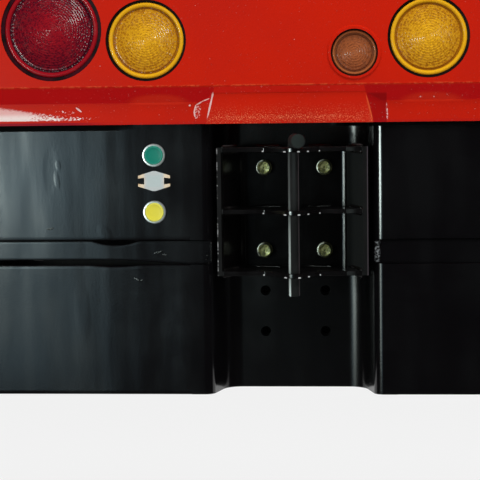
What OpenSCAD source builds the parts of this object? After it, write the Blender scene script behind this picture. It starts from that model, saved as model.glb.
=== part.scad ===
// Rear end section of an airport baggage tug: the black chassis wall with its tow coupling recess,
// the red hood skirt above it with the rear lamps, the inching buttons, and the draw pin.
// +X is to the right as seen from behind the vehicle, +Z is up, and the viewer behind it looks along +Y.
// The origin is the centre of the four chassis bolt holes, on the face that bolts to the chassis.

/* [Chassis wall] */
// Width of the black rear wall over its side returns
wall_w = 940; // [860:5:1040]
// Distance from the chassis bolting face back to the wall's outer face
wall_set = 120; // [110:1:160]
// Thickness of the wall plates
wall_t = 6; // [5:0.5:8]
// How far the wall reaches below the middle plate of the coupling
wall_drop = 240; // [225:1:280]
// How far the wall reaches up behind the hood skirt
wall_rise = 150; // [146:1:158]
// How far the side returns stop short of the chassis bolting face
return_short = 12; // [6:1:20]
// Height of the band's upper edge, counted down from the middle plate
band_down = 37; // [30:1:45]
// Height of the welded band between the upper and the lower wall plates
band_h = 32; // [24:1:40]
// How far the band is set in from the wall's face
band_inset = 2.5; // [1:0.5:4]
// Height of the open slot below the left band
slot_h = 6; // [3:0.5:10]
// Length over which that slot tapers to nothing beside the recess
slot_taper = 90; // [30:5:120]
// Length of the dents where the left band and the lower wall plate are bowed apart
dent_w = 62; // [40:1:80]
// Distance of those dents from the middle
dent_x = 232; // [215:1:260]
// Depth of the dent in the band's upper edge
band_dent = 6; // [3:0.5:8]
// Depth of the dent in the lower wall plate's edge
wall_dent = 2; // [1:0.5:4]

/* [Recess] */
// Width of the recess where it opens in the wall
recess_w = 213; // [206:1:240]
// Width of the recess floor
floor_w = 182; // [170:1:186]
// Depth of the recess floor behind the wall's face
recess_depth = 62; // [50:1:70]
// Thickness of the bent recess plate
channel_t = 6; // [5:0.5:8]
// Inside radius of the recess plate's two bends beside the wall
channel_bend_r = 8; // [5:0.5:12]
// Inside radius of the recess plate's two bends beside its floor
floor_bend_r = 26; // [12:1:28]
// Width of the recess plate's flange on each side, in the plane of the wall
channel_flange = 28; // [20:1:40]

/* [Hole ladder] */
// Number of hole rows in the recess floor
ladder_rows = 5; // [4:1:5]
// Height of the ladder's top row above the middle plate
ladder_top = 55; // [50:1:60]
// Vertical distance between hole rows
ladder_pitch = 55; // [45:1:56]
// Horizontal distance between the two holes of a row
ladder_w = 80; // [70:1:90]
// Diameter of the holes
ladder_hole_d = 13.5; // [13:0.1:15]
// Thickness of the doubler plate behind the recess floor
doubler_t = 8; // [6:0.5:12]
// Margin of the doubler plate above and below its holes
doubler_margin = 22; // [16:1:30]
// Margin of the doubler plate beside its holes
doubler_side = 15; // [12:1:20]

/* [Coupling] */
// Outside width of the coupling's back, on the recess floor
coupling_back_w = 150; // [136:1:154]
// Outside width of the coupling over its flared sides at the front
coupling_front_w = 195; // [180:1:210]
// Thickness of the coupling's plates
coupling_t = 6; // [5:0.5:8]
// Inside radius of the coupling's two bends
coupling_bend_r = 12; // [4:0.5:14]
// How far the coupling's front edges stand out of the wall's face
coupling_proud = 10; // [4:1:16]
// Vertical distance from one tow plate to the next
jaw_pitch = 80; // [72:1:86]
// Distance of the draw pin's axis in front of the wall's face
pin_out = 36; // [34:0.5:44]
// Radius of each nose round the pin hole
nose_r = 14; // [13:0.5:20]
// Width of each nose where it leaves the front edge
nose_base_w = 72; // [60:1:90]

/* [Draw pin] */
// How far the pin's axis lies to the right of the coupling's middle
pin_x = 3; // [0:0.5:4]
// Diameter of the draw pin
pin_d = 14; // [12:0.5:16]
// Clearance round the pin in its holes
pin_clear = 0.7; // [0.4:0.1:0.9]
// How far the pin reaches below the bottom tow plate
pin_below = 24; // [15:1:40]
// Radius of the pin's bend, at the middle of the bar
pin_bend_r = 11; // [10:0.5:20]
// Length of the handle arm from the pin's axis to its end
handle_len = 62; // [50:1:80]
// Angle that the handle arm is turned to the right
handle_turn = 8.5; // [0:0.5:30]
// Diameter of the grip on the handle's end
grip_d = 18; // [16:0.5:18]
// Length of the grip
grip_len = 42; // [30:1:44]
// Chamfer on the bar's ends
pin_chamfer = 1.2; // [0.5:0.1:2]

/* [Fasteners] */
// Thread diameter of the coupling bolts
bolt_d = 12; // [10:1:12]
// Width across flats of the bolt heads and nuts
bolt_af = 18; // [17:1:19]
// Height of the bolt heads
bolt_head_h = 7.5; // [6:0.5:8]
// Height of the nuts
nut_h = 10; // [8:0.5:11]
// Length of thread that stands out of the nuts
bolt_tail = 4; // [2:0.5:6]
// Diameter of the washers
washer_d = 21; // [20:0.5:26]
// Thickness of the washers
washer_t = 2.5; // [2:0.1:3]

/* [Hood] */
// Width of the hood
hood_w = 980; // [950:5:1080]
// Height of the hood's top above the middle plate
hood_top = 345; // [335:1:370]
// Height of the hood's bottom edge above the middle plate
hood_bottom = 114; // [108:1:120]
// Thickness of the hood's panel
hood_t = 4; // [3:0.5:5]
// How far the hood's upper face stands out of the wall's face
hood_proud = 20; // [18:0.5:22]
// Gap between the hood's skirt and the wall
skirt_gap = 2; // [1:0.5:3]
// Height where the upper face ends and slopes in
slope_top = 163; // [160:1:168]
// Height where the slope meets the set-back skirt
slope_bottom = 142; // [138:1:148]
// Radius of the hood's vertical corners
hood_corner_r = 60; // [40:1:90]
// Radius of the hood's top edges
hood_top_r = 28; // [10:1:32]
// Width of the middle bulge where the slope begins
bulge_top_w = 191; // [180:1:220]
// Width of the middle bulge at the skirt's bottom
bulge_bottom_w = 214; // [200:1:240]
// Width of the slanted flank on each side of the bulge
bulge_flank = 20; // [10:1:24]
// How far the bulge's face lies behind the upper face
bulge_set = 7; // [4:0.5:10]
// How far the bulge's middle lies to the left of the coupling's middle
bulge_shift = 2.5; // [0:0.5:6]
// How far the hood's panel stops short of the chassis bolting face
hood_short = 4; // [2:1:10]

/* [Rear lamps] */
// Height of the lowest point of the red lamps' holes above the middle plate
red_bottom = 171; // [169:0.5:175]
// Height of the lowest point of the amber lamps' holes
amber_bottom = 169.5; // [169:0.5:175]
// Height of the lowest point of the small reflector's hole
reflector_bottom = 172.5; // [169:0.5:176]
// Distance of the red lamps from the middle
red_x = 308; // [300:1:330]
// Diameter of the red lamps' holes in the hood
red_d = 131; // [120:1:134]
// Distance of the left amber lamp from the middle
amber_left_x = 185.5; // [175:0.5:190]
// Distance of the right amber lamp from the middle
amber_right_x = 175; // [170:0.5:190]
// Diameter of the amber lamps' holes in the hood
amber_d = 104; // [96:1:110]
// Distance of the small round reflector from the middle
reflector_x = 81; // [70:1:86]
// Diameter of the small round reflector's hole
reflector_d = 60; // [50:1:66]
// Width of the dark rim round the lens of a red lamp
red_rim = 4.5; // [3:0.5:7]
// Width of the dark rim round the lens of an amber lamp
amber_rim = 3; // [2:0.5:7]
// Width of the rim round the small reflector's lens
reflector_rim = 1.5; // [1:0.5:3]
// Width of the raised lip in the hood round the small reflector
lip_w = 5; // [3:0.5:7]
// Height of that lip over the hood's face
lip_h = 2; // [1:0.5:3]
// How far the lenses lie behind the hood's face
lamp_recess = 3; // [1:0.5:5]
// Depth of the red and amber lamps' cups
lamp_depth = 42; // [30:1:50]
// Depth of the small reflector's cup
reflector_depth = 21; // [16:1:30]
// Wall of the lamp cups
lamp_wall = 3; // [2:0.5:4]
// Width of the flange that clamps a lamp behind the panel
lamp_flange = 2.5; // [2:0.5:4]
// Taper of a lamp cup towards its back
cup_taper = 2; // [1:0.5:3]
// Thickness of a lens at its edge
lens_t = 4; // [3:0.5:6]
// How far the middle of a lens stands out of its edge
lens_crown = 1; // [0.5:0.1:1.5]
// Distance from a lens's rim at which its face starts to fall back
lens_shoulder = 14; // [8:1:18]
// Chamfer round a lens
lens_edge = 2; // [1:0.5:2.5]

/* [Inching buttons] */
// Distance of the buttons from the middle
button_x = 180; // [170:1:200]
// Height of the upper button above the middle plate
button_up = 74; // [66:1:80]
// Diameter of the button bezels
bezel_d = 30; // [28:0.5:32]
// Height of the bezels on the wall
bezel_h = 3.5; // [2:0.5:5]
// Diameter of the coloured caps
cap_d = 24; // [22:0.5:25]
// Clearance round the caps
cap_clear = 0.3; // [0.2:0.05:0.5]
// How far the caps stand out of their bezels
cap_proud = 0.5; // [0.3:0.1:1.5]
// How far the caps' seats lie in front of the wall's face
cap_seat = 1.5; // [1:0.1:1.8]
// Chamfer round the bezels and their ring nuts
bezel_edge = 1; // [0.5:0.1:1.5]
// Diameter of the threaded barrels through the wall
barrel_d = 22; // [20:0.5:22.5]
// Wall of the barrels
barrel_t = 3; // [2:0.5:4]
// How far the barrels reach behind the wall
barrel_back = 8; // [6:0.5:12]
// Height of the ring nuts on the barrels
ring_nut_h = 5; // [3:0.5:6]
// Width of the contact blocks behind the wall
block_w = 30; // [26:1:34]
// Depth of the contact blocks
block_depth = 36; // [30:1:44]
// Width of the direction sign between the buttons
sign_w = 42; // [36:1:48]
// Height of the direction sign
sign_h = 26; // [22:1:30]
// Thickness of the direction sign
sign_t = 0.8; // [0.5:0.1:1.5]
// Height of the direction sign's middle above the middle plate
sign_z = 40.5; // [38:0.5:42]
// Width of the sign's blank field
sign_body_w = 26; // [20:1:30]
// Width of the flat peak of each of the sign's arrows
sign_peak_w = 4; // [2:1:16]
// Drop of the sign's arrows from their peak to their tips
sign_roof = 6; // [4:0.5:7]
// Height of the arrows' tips
sign_arm = 3.6; // [3:0.1:4]
// Taper of the arrows' tips towards the sign's field
sign_taper = 1; // [0.5:0.1:1.5]

/* [Inner frame] */
// Distance of the chassis bolts from the middle
rail_x = 360; // [340:1:380]
// Vertical distance between the chassis bolts
rail_bolt_pitch = 200; // [180:1:220]
// Diameter of the chassis bolt holes
rail_hole_d = 17.5; // [17:0.5:18]
// Distance of a rail's web outside its bolts
rail_web_out = 44; // [40:1:50]
// Width of a rail
rail_w = 80; // [72:1:90]
// Thickness of the rails
rail_t = 8; // [6:0.5:10]
// Height of the rails' top above the middle plate
rail_top = 140; // [132:1:142]
// Height of the rails' bottom below the middle plate
rail_drop = 200; // [190:1:205]
// Thickness of the end plates that bolt to the chassis
end_t = 10; // [8:1:14]
// Height of the cross tubes
tube_h = 38; // [34:1:39]
// Wall of the cross tubes
tube_t = 4; // [3:0.5:5]
// Thickness of the bulkhead between the end plates
bulkhead_t = 4; // [3:0.5:6]
// Thickness of the two stiffeners behind the recess floor
stiffener_t = 8; // [6:0.5:10]
// Distance of the hood brackets from the middle
bracket_x = 250; // [244:1:256]
// Width of the hood brackets
bracket_w = 36; // [28:1:40]
// Thickness of the hood brackets
bracket_t = 4; // [3:0.5:6]

/* [Hidden] */
$fn = 48;

// Sides: the left one is at -X
left = -1;
right = 1;
// Clearance between pieces that fit inside one another without touching
fit = 0.2;
// Reach of a cutting solid past the faces that it cuts
cut = 1;
// Segments of a rounded bend
bend_steps = 8;
// Height of the slices between which a tapered form is drawn
slice_h = 0.01;

wall_y = -wall_set;
floor_y = wall_y + recess_depth;
channel_back_y = floor_y + channel_t;
band_top = -band_down;
band_bottom = band_top - band_h;
seam_x = recess_w / 2 + channel_flange;
doubler_w = ladder_w + 2 * doubler_side;
plate_half = coupling_t / 2;
coupling_h = 2 * jaw_pitch + coupling_t;
coupling_front_y = wall_y - coupling_proud;
coupling_bends = [coupling_bend_r, coupling_bend_r];
pin_y = wall_y - pin_out;
pin_at = [pin_x, pin_y];
pin_hole_d = pin_d + 2 * pin_clear;
hood_y = wall_y - hood_proud;
red_z = red_bottom + red_d / 2;
amber_z = amber_bottom + amber_d / 2;
reflector_z = reflector_bottom + reflector_d / 2;
skirt_out = skirt_gap + hood_t;
skirt_set = hood_proud - skirt_out;
hood_end_y = -hood_short;
// The wall's bends run parallel to the skirt's corners
wall_bend_r = hood_corner_r - skirt_set - hood_t - skirt_gap - wall_t;
tube_depth = -end_t - channel_back_y;
// The two rows of the ladder that carry the coupling
coupling_rows = [0, 2];
// Clearance of a bolt in its nut
thread_clear = 0.15;
// How far the outer edge of a lamp's rim lies behind the hood's face
rim_edge = 1.5;

// Plan geometry
function unit(v) = v / norm(v);
function left_of(v) = [-v[1], v[0]];
function reversed(p) = [for (i = [len(p) - 1:-1:0]) p[i]];
function arc_points(c, r, from, turn) = [
    for (i = [0:bend_steps]) c + r * [cos(from + turn * i / bend_steps), sin(from + turn * i / bend_steps)]
];

// One bend at corner v between a and b, on the face that lies off to the left of the path
function bend(a, v, b, t, r, off) =
    let (
        n0 = left_of(unit(v - a)),
        n1 = left_of(unit(b - v)),
        side = sign(cross(n0, n1)),
        face_r = side > 0 ? r + t : r,
        c = v + side * face_r * (n0 + n1) / (1 + n0 * n1)
    )
    arc_points(c, face_r - side * off, atan2(-side * n0[1], -side * n0[0]), asin(cross(n0, n1)));

// The radii r go with the path's inner points
function bent_face(p, t, r, off) = [
    for (i = [0:len(p) - 1])
        each i == 0 ? [p[0] + off * left_of(unit(p[1] - p[0]))]
            : i == len(p) - 1 ? [p[i] + off * left_of(unit(p[i] - p[i - 1]))]
            : bend(p[i - 1], p[i], p[i + 1], t, r[i - 1], off)
];

// A plate of thickness t bent along the path p, its material to the left of the path
module bent_plate(p, t, r) {
    polygon(concat(bent_face(p, t, r, 0), reversed(bent_face(p, t, r, t))));
}

// Upright extrusion between two heights
module upright(bottom, top) {
    translate([0, 0, bottom])
        linear_extrude(top - bottom)
            children();
}

module at_side(side) {
    if (side == left)
        mirror([1, 0, 0])
            children();
    else
        children();
}

// Cylinder along +Y from y0 to y1
module rod_y(x, z, d, y0, y1) {
    translate([x, y0, z])
        rotate([-90, 0, 0])
            cylinder(d = d, h = y1 - y0);
}

// Recess channel, with its ladder of holes
module recess_plan() {
    bent_plate([
        [-seam_x, wall_y], [-recess_w / 2, wall_y], [-floor_w / 2, floor_y],
        [floor_w / 2, floor_y], [recess_w / 2, wall_y], [seam_x, wall_y]
    ], channel_t, [channel_bend_r, floor_bend_r, floor_bend_r, channel_bend_r]);
}

// One rod along +Y at every place of the ladder, or only at its rows that are listed
module ladder(d, y0, y1, rows = [0:ladder_rows - 1]) {
    for (row = rows)
        for (side = [left, right])
            rod_y(side * ladder_w / 2, ladder_top - row * ladder_pitch, d, y0, y1);
}

module recess_channel() {
    color("#1b1c1e")
        difference() {
            upright(-wall_drop, wall_rise)
                recess_plan();
            ladder(ladder_hole_d, floor_y - cut, channel_back_y + cut);
            for (side = [left, right])
                at_side(side)
                    translate([recess_w / 2, wall_y - cut, band_bottom])
                        cube([channel_flange + cut, band_inset + wall_t + cut, band_h]);
        }
}

// Rear wall: one plan outline, cut to heights
module wall_plan(inset) {
    bent_plate([
        [seam_x, wall_y + inset], [wall_w / 2 - inset, wall_y + inset], [wall_w / 2 - inset, -return_short]
    ], wall_t, [wall_bend_r]);
}

module button_hole(z) {
    rod_y(-button_x, z, barrel_d + 2 * fit, wall_y - cut, wall_y + wall_t + cut);
}

module wall_upper(side) {
    color("#1b1c1e")
        difference() {
            at_side(side)
                upright(band_top, wall_rise)
                    wall_plan(0);
            if (side == left) {
                button_hole(button_up);
                button_hole(0);
            }
        }
}

// Shallow bow cut down into an upper edge at height z
module dent(z, depth) {
    r = (dent_w * dent_w / 4 + depth * depth) / (2 * depth);
    rod_y(dent_x, z + r - depth, 2 * r, wall_y - cut, wall_y + band_inset + wall_t + cut);
}

module wall_lower(side) {
    color("#1b1c1e")
        at_side(side)
            difference() {
                upright(-wall_drop, band_bottom)
                    wall_plan(0);
                if (side == left)
                    dent(band_bottom, wall_dent);
            }
}

// Slot under the left band, from beside the recess to the rail's web
module band_slot() {
    slot_end = rail_x + rail_web_out - rail_t;
    translate([0, wall_y + band_inset - cut, 0])
        rotate([90, 0, 0])
            translate([0, 0, -wall_t - 2 * cut])
                linear_extrude(wall_t + 2 * cut)
                    polygon([
                        [seam_x, band_bottom], [seam_x + slot_taper, band_bottom + slot_h],
                        [slot_end - slot_h, band_bottom + slot_h], [slot_end, band_bottom],
                        [slot_end, band_bottom - cut], [seam_x, band_bottom - cut]
                    ]);
}

// Band between the wall plates, with its end that takes the place of the channel's flange
module band(side) {
    color("#1b1c1e")
        at_side(side)
            difference() {
                upright(band_bottom, band_top) {
                    wall_plan(band_inset);
                    translate([recess_w / 2, wall_y + band_inset])
                        square([channel_flange, wall_t]);
                }
                if (side == left) {
                    band_slot();
                    dent(band_top, band_dent);
                }
            }
}

// Frame behind the wall
module hex_y(x, z, y0, h) {
    translate([x, y0, z])
        rotate([-90, 0, 0])
            cylinder(d = bolt_af / cos(30), h = h, $fn = 6);
}

// Doubler behind the recess floor, with a weld nut on every hole
module doubler_plate() {
    ladder_h = (ladder_rows - 1) * ladder_pitch;
    nut_y = channel_back_y + doubler_t;
    color("#2a2b2d")
        difference() {
            union() {
                translate([-doubler_w / 2, channel_back_y, ladder_top - ladder_h - doubler_margin])
                    cube([doubler_w, doubler_t, ladder_h + 2 * doubler_margin]);
                for (row = [0:ladder_rows - 1])
                    for (side = [left, right])
                        hex_y(side * ladder_w / 2, ladder_top - row * ladder_pitch, nut_y, nut_h);
            }
            ladder(ladder_hole_d, channel_back_y - cut, nut_y);
            ladder(bolt_d + 2 * thread_clear, nut_y - cut, nut_y + nut_h + cut);
        }
}

module stiffener(side) {
    color("#2a2b2d")
        at_side(side)
            translate([doubler_w / 2, channel_back_y, -rail_drop])
                cube([stiffener_t, tube_depth, rail_top + rail_drop]);
}

// Rail, open towards the middle, its web notched for the band
module rail(side) {
    web_x = rail_x + rail_web_out;
    color("#2a2b2d")
        at_side(side)
            difference() {
                translate([web_x - rail_w, wall_y + wall_t, -rail_drop])
                    cube([rail_w, wall_set - wall_t - end_t, rail_top + rail_drop]);
                translate([web_x - rail_w - cut, wall_y + wall_t - cut, rail_t - rail_drop])
                    cube([rail_w - rail_t + cut, wall_set, rail_top + rail_drop - 2 * rail_t]);
                translate([web_x - rail_t - cut, wall_y, band_bottom])
                    cube([rail_t + 2 * cut, wall_t + band_inset, band_h]);
            }
}

module end_plate(side) {
    color("#2a2b2d")
        at_side(side)
            difference() {
                translate([rail_x + rail_web_out - rail_w, -end_t, -rail_drop])
                    cube([rail_w, end_t, rail_top + rail_drop]);
                for (level = [-1, 1])
                    rod_y(rail_x, level * rail_bolt_pitch / 2, rail_hole_d, -end_t - cut, cut);
            }
}

module cross_tube(bottom) {
    length = 2 * (rail_x + rail_web_out);
    color("#2a2b2d")
        difference() {
            translate([-length / 2, channel_back_y, bottom])
                cube([length, tube_depth, tube_h]);
            translate([-length / 2 - cut, channel_back_y + tube_t, bottom + tube_t])
                cube([length + 2 * cut, tube_depth - 2 * tube_t, tube_h - 2 * tube_t]);
        }
}

// Thin plate that closes the box between the end plates and the cross tubes
module bulkhead() {
    half = rail_x + rail_web_out - rail_w;
    color("#2a2b2d")
        translate([-half, -end_t, -rail_drop - tube_h])
            cube([2 * half, bulkhead_t, rail_top + rail_drop + 2 * tube_h]);
}

// Hood: the same outline drawn at inset 0 and at its panel thickness gives the shell
module hood_plan(inset) {
    w = hood_w - 2 * inset;
    r = hood_corner_r - inset;
    y0 = hood_y + inset;
    translate([0, y0 + r])
        for (side = [left, right])
            translate([side * (w / 2 - r), 0])
                circle(r);
    translate([r - w / 2, y0])
        square([w - 2 * r, r]);
    translate([-w / 2, y0 + r])
        square([w, hood_end_y - y0 - r]);
}

// The upper body, its top edges rounded from the back and from the sides
module hood_upper(inset, reach) {
    top = hood_top - inset;
    r = hood_top_r - inset;
    y0 = hood_y + inset;
    x1 = hood_w / 2 - inset;
    intersection() {
        upright(slope_top, top)
            hood_plan(inset);
        rotate([90, 0, 90])
            linear_extrude(hood_w, center = true) {
                translate([y0, slope_top - cut])
                    square([hood_end_y - y0 + reach, top - r - slope_top + cut]);
                translate([y0 + r, slope_top])
                    square([hood_end_y - y0 - r + reach, top - slope_top]);
                translate([y0 + r, top - r])
                    circle(r);
            }
        rotate([90, 0, 0])
            linear_extrude(2 * wall_set + 2 * hood_proud, center = true) {
                translate([-x1, slope_top - cut])
                    square([2 * x1, top - r - slope_top + cut]);
                translate([r - x1, slope_top])
                    square([2 * (x1 - r), top - slope_top]);
                for (side = [left, right])
                    translate([side * (x1 - r), top - r])
                        circle(r);
            }
    }
}

module hood_skirt(inset, low) {
    upright(low, slope_bottom)
        hood_plan(skirt_set + inset);
    hull() {
        upright(slope_top - slice_h, slope_top)
            hood_plan(inset);
        upright(slope_bottom, slope_bottom + slice_h)
            hood_plan(skirt_set + inset);
    }
}

// Trapezoid bulge that fills the set-back behind the draw pin
module hood_bulge(inset, low) {
    y0 = hood_y + bulge_set + inset;
    y1 = wall_y - skirt_out + inset + cut;
    hull() {
        for (end = [[slope_top, bulge_top_w], [low, bulge_bottom_w]]) {
            front = end[1] / 2 - inset;
            translate([-bulge_shift, 0, end[0]])
                linear_extrude(slice_h)
                    polygon([
                        [-front, y0], [front, y0], [front + bulge_flank, y1], [-front - bulge_flank, y1]
                    ]);
        }
    }
}

module hood_solid(inset, low, reach) {
    hood_upper(inset, reach);
    hood_skirt(inset, low);
    hood_bulge(inset, low);
}

module lamp_hole(x, z, d) {
    rod_y(x, z, d, hood_y - lip_h - cut, hood_y + hood_t + cut);
}

// Raised lip round the small reflector's hole
module reflector_lip() {
    front_d = reflector_d + 2 * (lip_w - lip_h);
    height = lip_h + hood_t;
    translate([reflector_x, hood_y - lip_h, reflector_z])
        rotate([-90, 0, 0])
            cylinder(d1 = front_d, d2 = front_d + 2 * height, h = height);
}

module hood() {
    color("#c31e0f")
        difference() {
            union() {
                difference() {
                    hood_solid(0, hood_bottom, 0);
                    hood_solid(hood_t, hood_bottom - cut, cut);
                }
                reflector_lip();
            }
            for (side = [left, right])
                lamp_hole(side * red_x, red_z, red_d);
            lamp_hole(-amber_left_x, amber_z, amber_d);
            lamp_hole(amber_right_x, amber_z, amber_d);
            lamp_hole(reflector_x, reflector_z, reflector_d);
        }
}

module hood_bracket(side) {
    base = rail_top + tube_h;
    color("#2a2b2d")
        at_side(side)
            translate([bracket_x - bracket_w / 2, channel_back_y, 0]) {
                translate([0, 0, base])
                    cube([bracket_w, tube_depth, bracket_t]);
                translate([0, 0, base])
                    cube([bracket_w, bracket_t, hood_top - hood_t - base]);
                translate([0, 0, hood_top - hood_t - bracket_t])
                    cube([bracket_w, tube_depth, bracket_t]);
            }
}

// Tow coupling
function coupling_path() = [
    [coupling_front_w / 2, coupling_front_y], [coupling_back_w / 2, floor_y],
    [-coupling_back_w / 2, floor_y], [-coupling_front_w / 2, coupling_front_y]
];

module coupling_channel() {
    color("#1b1c1e")
        difference() {
            upright(-coupling_h / 2, coupling_h / 2)
                bent_plate(coupling_path(), coupling_t, coupling_bends);
            ladder(ladder_hole_d, floor_y - coupling_t - cut, floor_y + cut, coupling_rows);
        }
}

// Where a nose leaves the front edge on one side, and the angle on its tip where that flank ends
function nose_base(side) = [side * nose_base_w / 2, coupling_front_y];
function nose_tangent(side) =
    let (out = nose_base(side) - pin_at)
    atan2(out[1], out[0]) - side * acos(nose_r / norm(out));

// A tow plate fills the coupling between its sides and reaches out as a nose round the pin
module tow_plate(z) {
    inner = bent_face(coupling_path(), coupling_t, coupling_bends, coupling_t);
    from = nose_tangent(right);
    nose = arc_points(pin_at, nose_r, from, nose_tangent(left) - 360 - from);
    color("#1b1c1e")
        difference() {
            upright(z - plate_half, z + plate_half)
                polygon(concat(inner, [nose_base(left)], reversed(nose), [nose_base(right)]));
            translate([pin_x, pin_y, z - coupling_t])
                cylinder(d = pin_hole_d, h = 2 * coupling_t);
        }
}

// Bolt with its washer, drawn tight into its weld nut
module coupling_bolt(index) {
    side = index % 2 == 1 ? left : right;
    x = side * ladder_w / 2;
    z = ladder_top - coupling_rows[index > 2 ? 1 : 0] * ladder_pitch;
    seat_y = floor_y - coupling_t;
    color("#c9c08a") {
        rod_y(x, z, washer_d, seat_y - washer_t, seat_y);
        hex_y(x, z, seat_y - washer_t - bolt_head_h, bolt_head_h);
        rod_y(x, z, bolt_d, seat_y - washer_t, channel_back_y + doubler_t + nut_h + bolt_tail);
    }
}

// Draw pin: a round bar, its top bent towards the viewer as the handle, with a grip on its end
module draw_pin() {
    inner_r = pin_bend_r - pin_d / 2;
    sink = sqrt(inner_r * inner_r - (inner_r - pin_clear) * (inner_r - pin_clear));
    bend_z = round(100 * (jaw_pitch + plate_half - sink + fit)) / 100;
    end_z = -jaw_pitch - plate_half - pin_below;
    grip_from = handle_len - pin_bend_r - grip_len;
    color("#26282a")
        translate([pin_x, pin_y, 0])
            rotate([0, 0, handle_turn]) {
                translate([0, 0, end_z + pin_chamfer])
                    cylinder(d = pin_d, h = bend_z - end_z - pin_chamfer);
                translate([0, 0, end_z])
                    cylinder(d1 = pin_d - 2 * pin_chamfer, d2 = pin_d, h = pin_chamfer);
                translate([0, -pin_bend_r, bend_z])
                    rotate([90, 0, 90])
                        rotate_extrude(angle = 90)
                            translate([pin_bend_r, 0])
                                circle(d = pin_d);
                translate([0, -pin_bend_r, bend_z + pin_bend_r])
                    rotate([90, 0, 0]) {
                        cylinder(d = pin_d, h = grip_from + cut);
                        translate([0, 0, grip_from])
                            cylinder(d1 = grip_d - 2 * pin_chamfer, d2 = grip_d, h = pin_chamfer);
                        translate([0, 0, grip_from + pin_chamfer])
                            cylinder(d = grip_d, h = grip_len - 2 * pin_chamfer);
                        translate([0, 0, handle_len - pin_bend_r - pin_chamfer])
                            cylinder(d1 = grip_d, d2 = grip_d - 2 * pin_chamfer, h = pin_chamfer);
                    }
            }
}

// Lamps: a cup behind the panel with its rim in the hole, and the lens seated in the rim
module lamp_cup(x, z, d, rim, depth) {
    rim_r = d / 2 - fit;
    lens_r = rim_r - rim;
    seat_y = hood_y + lamp_recess;
    panel_y = hood_y + hood_t;
    flange_r = rim_r + lamp_flange;
    flange_y = panel_y + lamp_wall;
    back_y = hood_y + depth;
    color("#202123")
        translate([x, 0, z])
            rotate([-90, 0, 0])
                rotate_extrude()
                    polygon([
                        [lens_r, seat_y], [rim_r, hood_y + rim_edge], [rim_r, panel_y], [flange_r, panel_y],
                        [flange_r, flange_y], [rim_r, flange_y], [rim_r - cup_taper, back_y], [0, back_y],
                        [0, back_y - lamp_wall], [lens_r - lamp_wall, back_y - lamp_wall],
                        [lens_r - lamp_wall, seat_y + lens_t], [lens_r, seat_y + lens_t]
                    ]);
}

module lamp_lens(x, z, d, rim, shade) {
    r = d / 2 - fit - rim - fit;
    face_y = hood_y + lamp_recess;
    back_y = face_y + lens_t;
    color(shade)
        translate([x, 0, z])
            rotate([-90, 0, 0])
                rotate_extrude()
                    polygon([
                        [0, face_y - lens_crown], [r - lens_shoulder, face_y - lens_crown],
                        [r - lens_edge, face_y], [r, face_y + lens_edge], [r, back_y], [0, back_y]
                    ]);
}

module red_cup(x) {
    lamp_cup(x, red_z, red_d, red_rim, lamp_depth);
}

module red_lens(x) {
    lamp_lens(x, red_z, red_d, red_rim, "#a01828");
}

module amber_cup(x) {
    lamp_cup(x, amber_z, amber_d, amber_rim, lamp_depth);
}

module amber_lens(x) {
    lamp_lens(x, amber_z, amber_d, amber_rim, "#f0b020");
}

module reflector_cup() {
    lamp_cup(reflector_x, reflector_z, reflector_d, reflector_rim, reflector_depth);
}

module reflector_lens() {
    lamp_lens(reflector_x, reflector_z, reflector_d, reflector_rim, "#b06030");
}

// Inching buttons
module button_bezel(z) {
    back_y = wall_y + wall_t;
    front_y = wall_y - bezel_h;
    color("#b9bcc0")
        difference() {
            union() {
                translate([-button_x, front_y, z])
                    rotate([-90, 0, 0])
                        cylinder(d1 = bezel_d - 2 * bezel_edge, d2 = bezel_d, h = bezel_edge);
                rod_y(-button_x, z, bezel_d, front_y + bezel_edge, wall_y);
                rod_y(-button_x, z, barrel_d, wall_y - cut, back_y + barrel_back);
                rod_y(-button_x, z, bezel_d - 2 * bezel_edge, back_y, back_y + ring_nut_h);
            }
            rod_y(-button_x, z, cap_d + 2 * cap_clear, front_y - cut, wall_y - cap_seat);
            rod_y(-button_x, z, barrel_d - 2 * barrel_t, front_y, back_y + barrel_back + cut);
        }
}

module button_cap(z, shade) {
    color(shade)
        rod_y(-button_x, z, cap_d, wall_y - bezel_h - cap_proud, wall_y - cap_seat);
}

module button_block(z) {
    color("#d8d8d2")
        translate([-button_x - block_w / 2, wall_y + wall_t + barrel_back, z - block_w / 2])
            cube([block_w, block_depth, block_w]);
}

// Blank plate in the shape of an arrow up and an arrow down
module direction_sign() {
    peak = sign_h / 2;
    tip = peak - sign_roof;
    quarter = [
        [sign_peak_w / 2, peak], [sign_w / 2, tip], [sign_w / 2, tip - sign_arm],
        [sign_body_w / 2, tip - sign_arm + sign_taper]
    ];
    upper_left = [for (p = reversed(quarter)) [-p[0], p[1]]];
    lower_right = [for (p = reversed(quarter)) [p[0], -p[1]]];
    lower_left = [for (p = quarter) [-p[0], -p[1]]];
    color("#e9eef2")
        translate([-button_x, wall_y, sign_z])
            rotate([90, 0, 0])
                linear_extrude(sign_t)
                    polygon(concat(quarter, lower_right, lower_left, upper_left));
}

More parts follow.
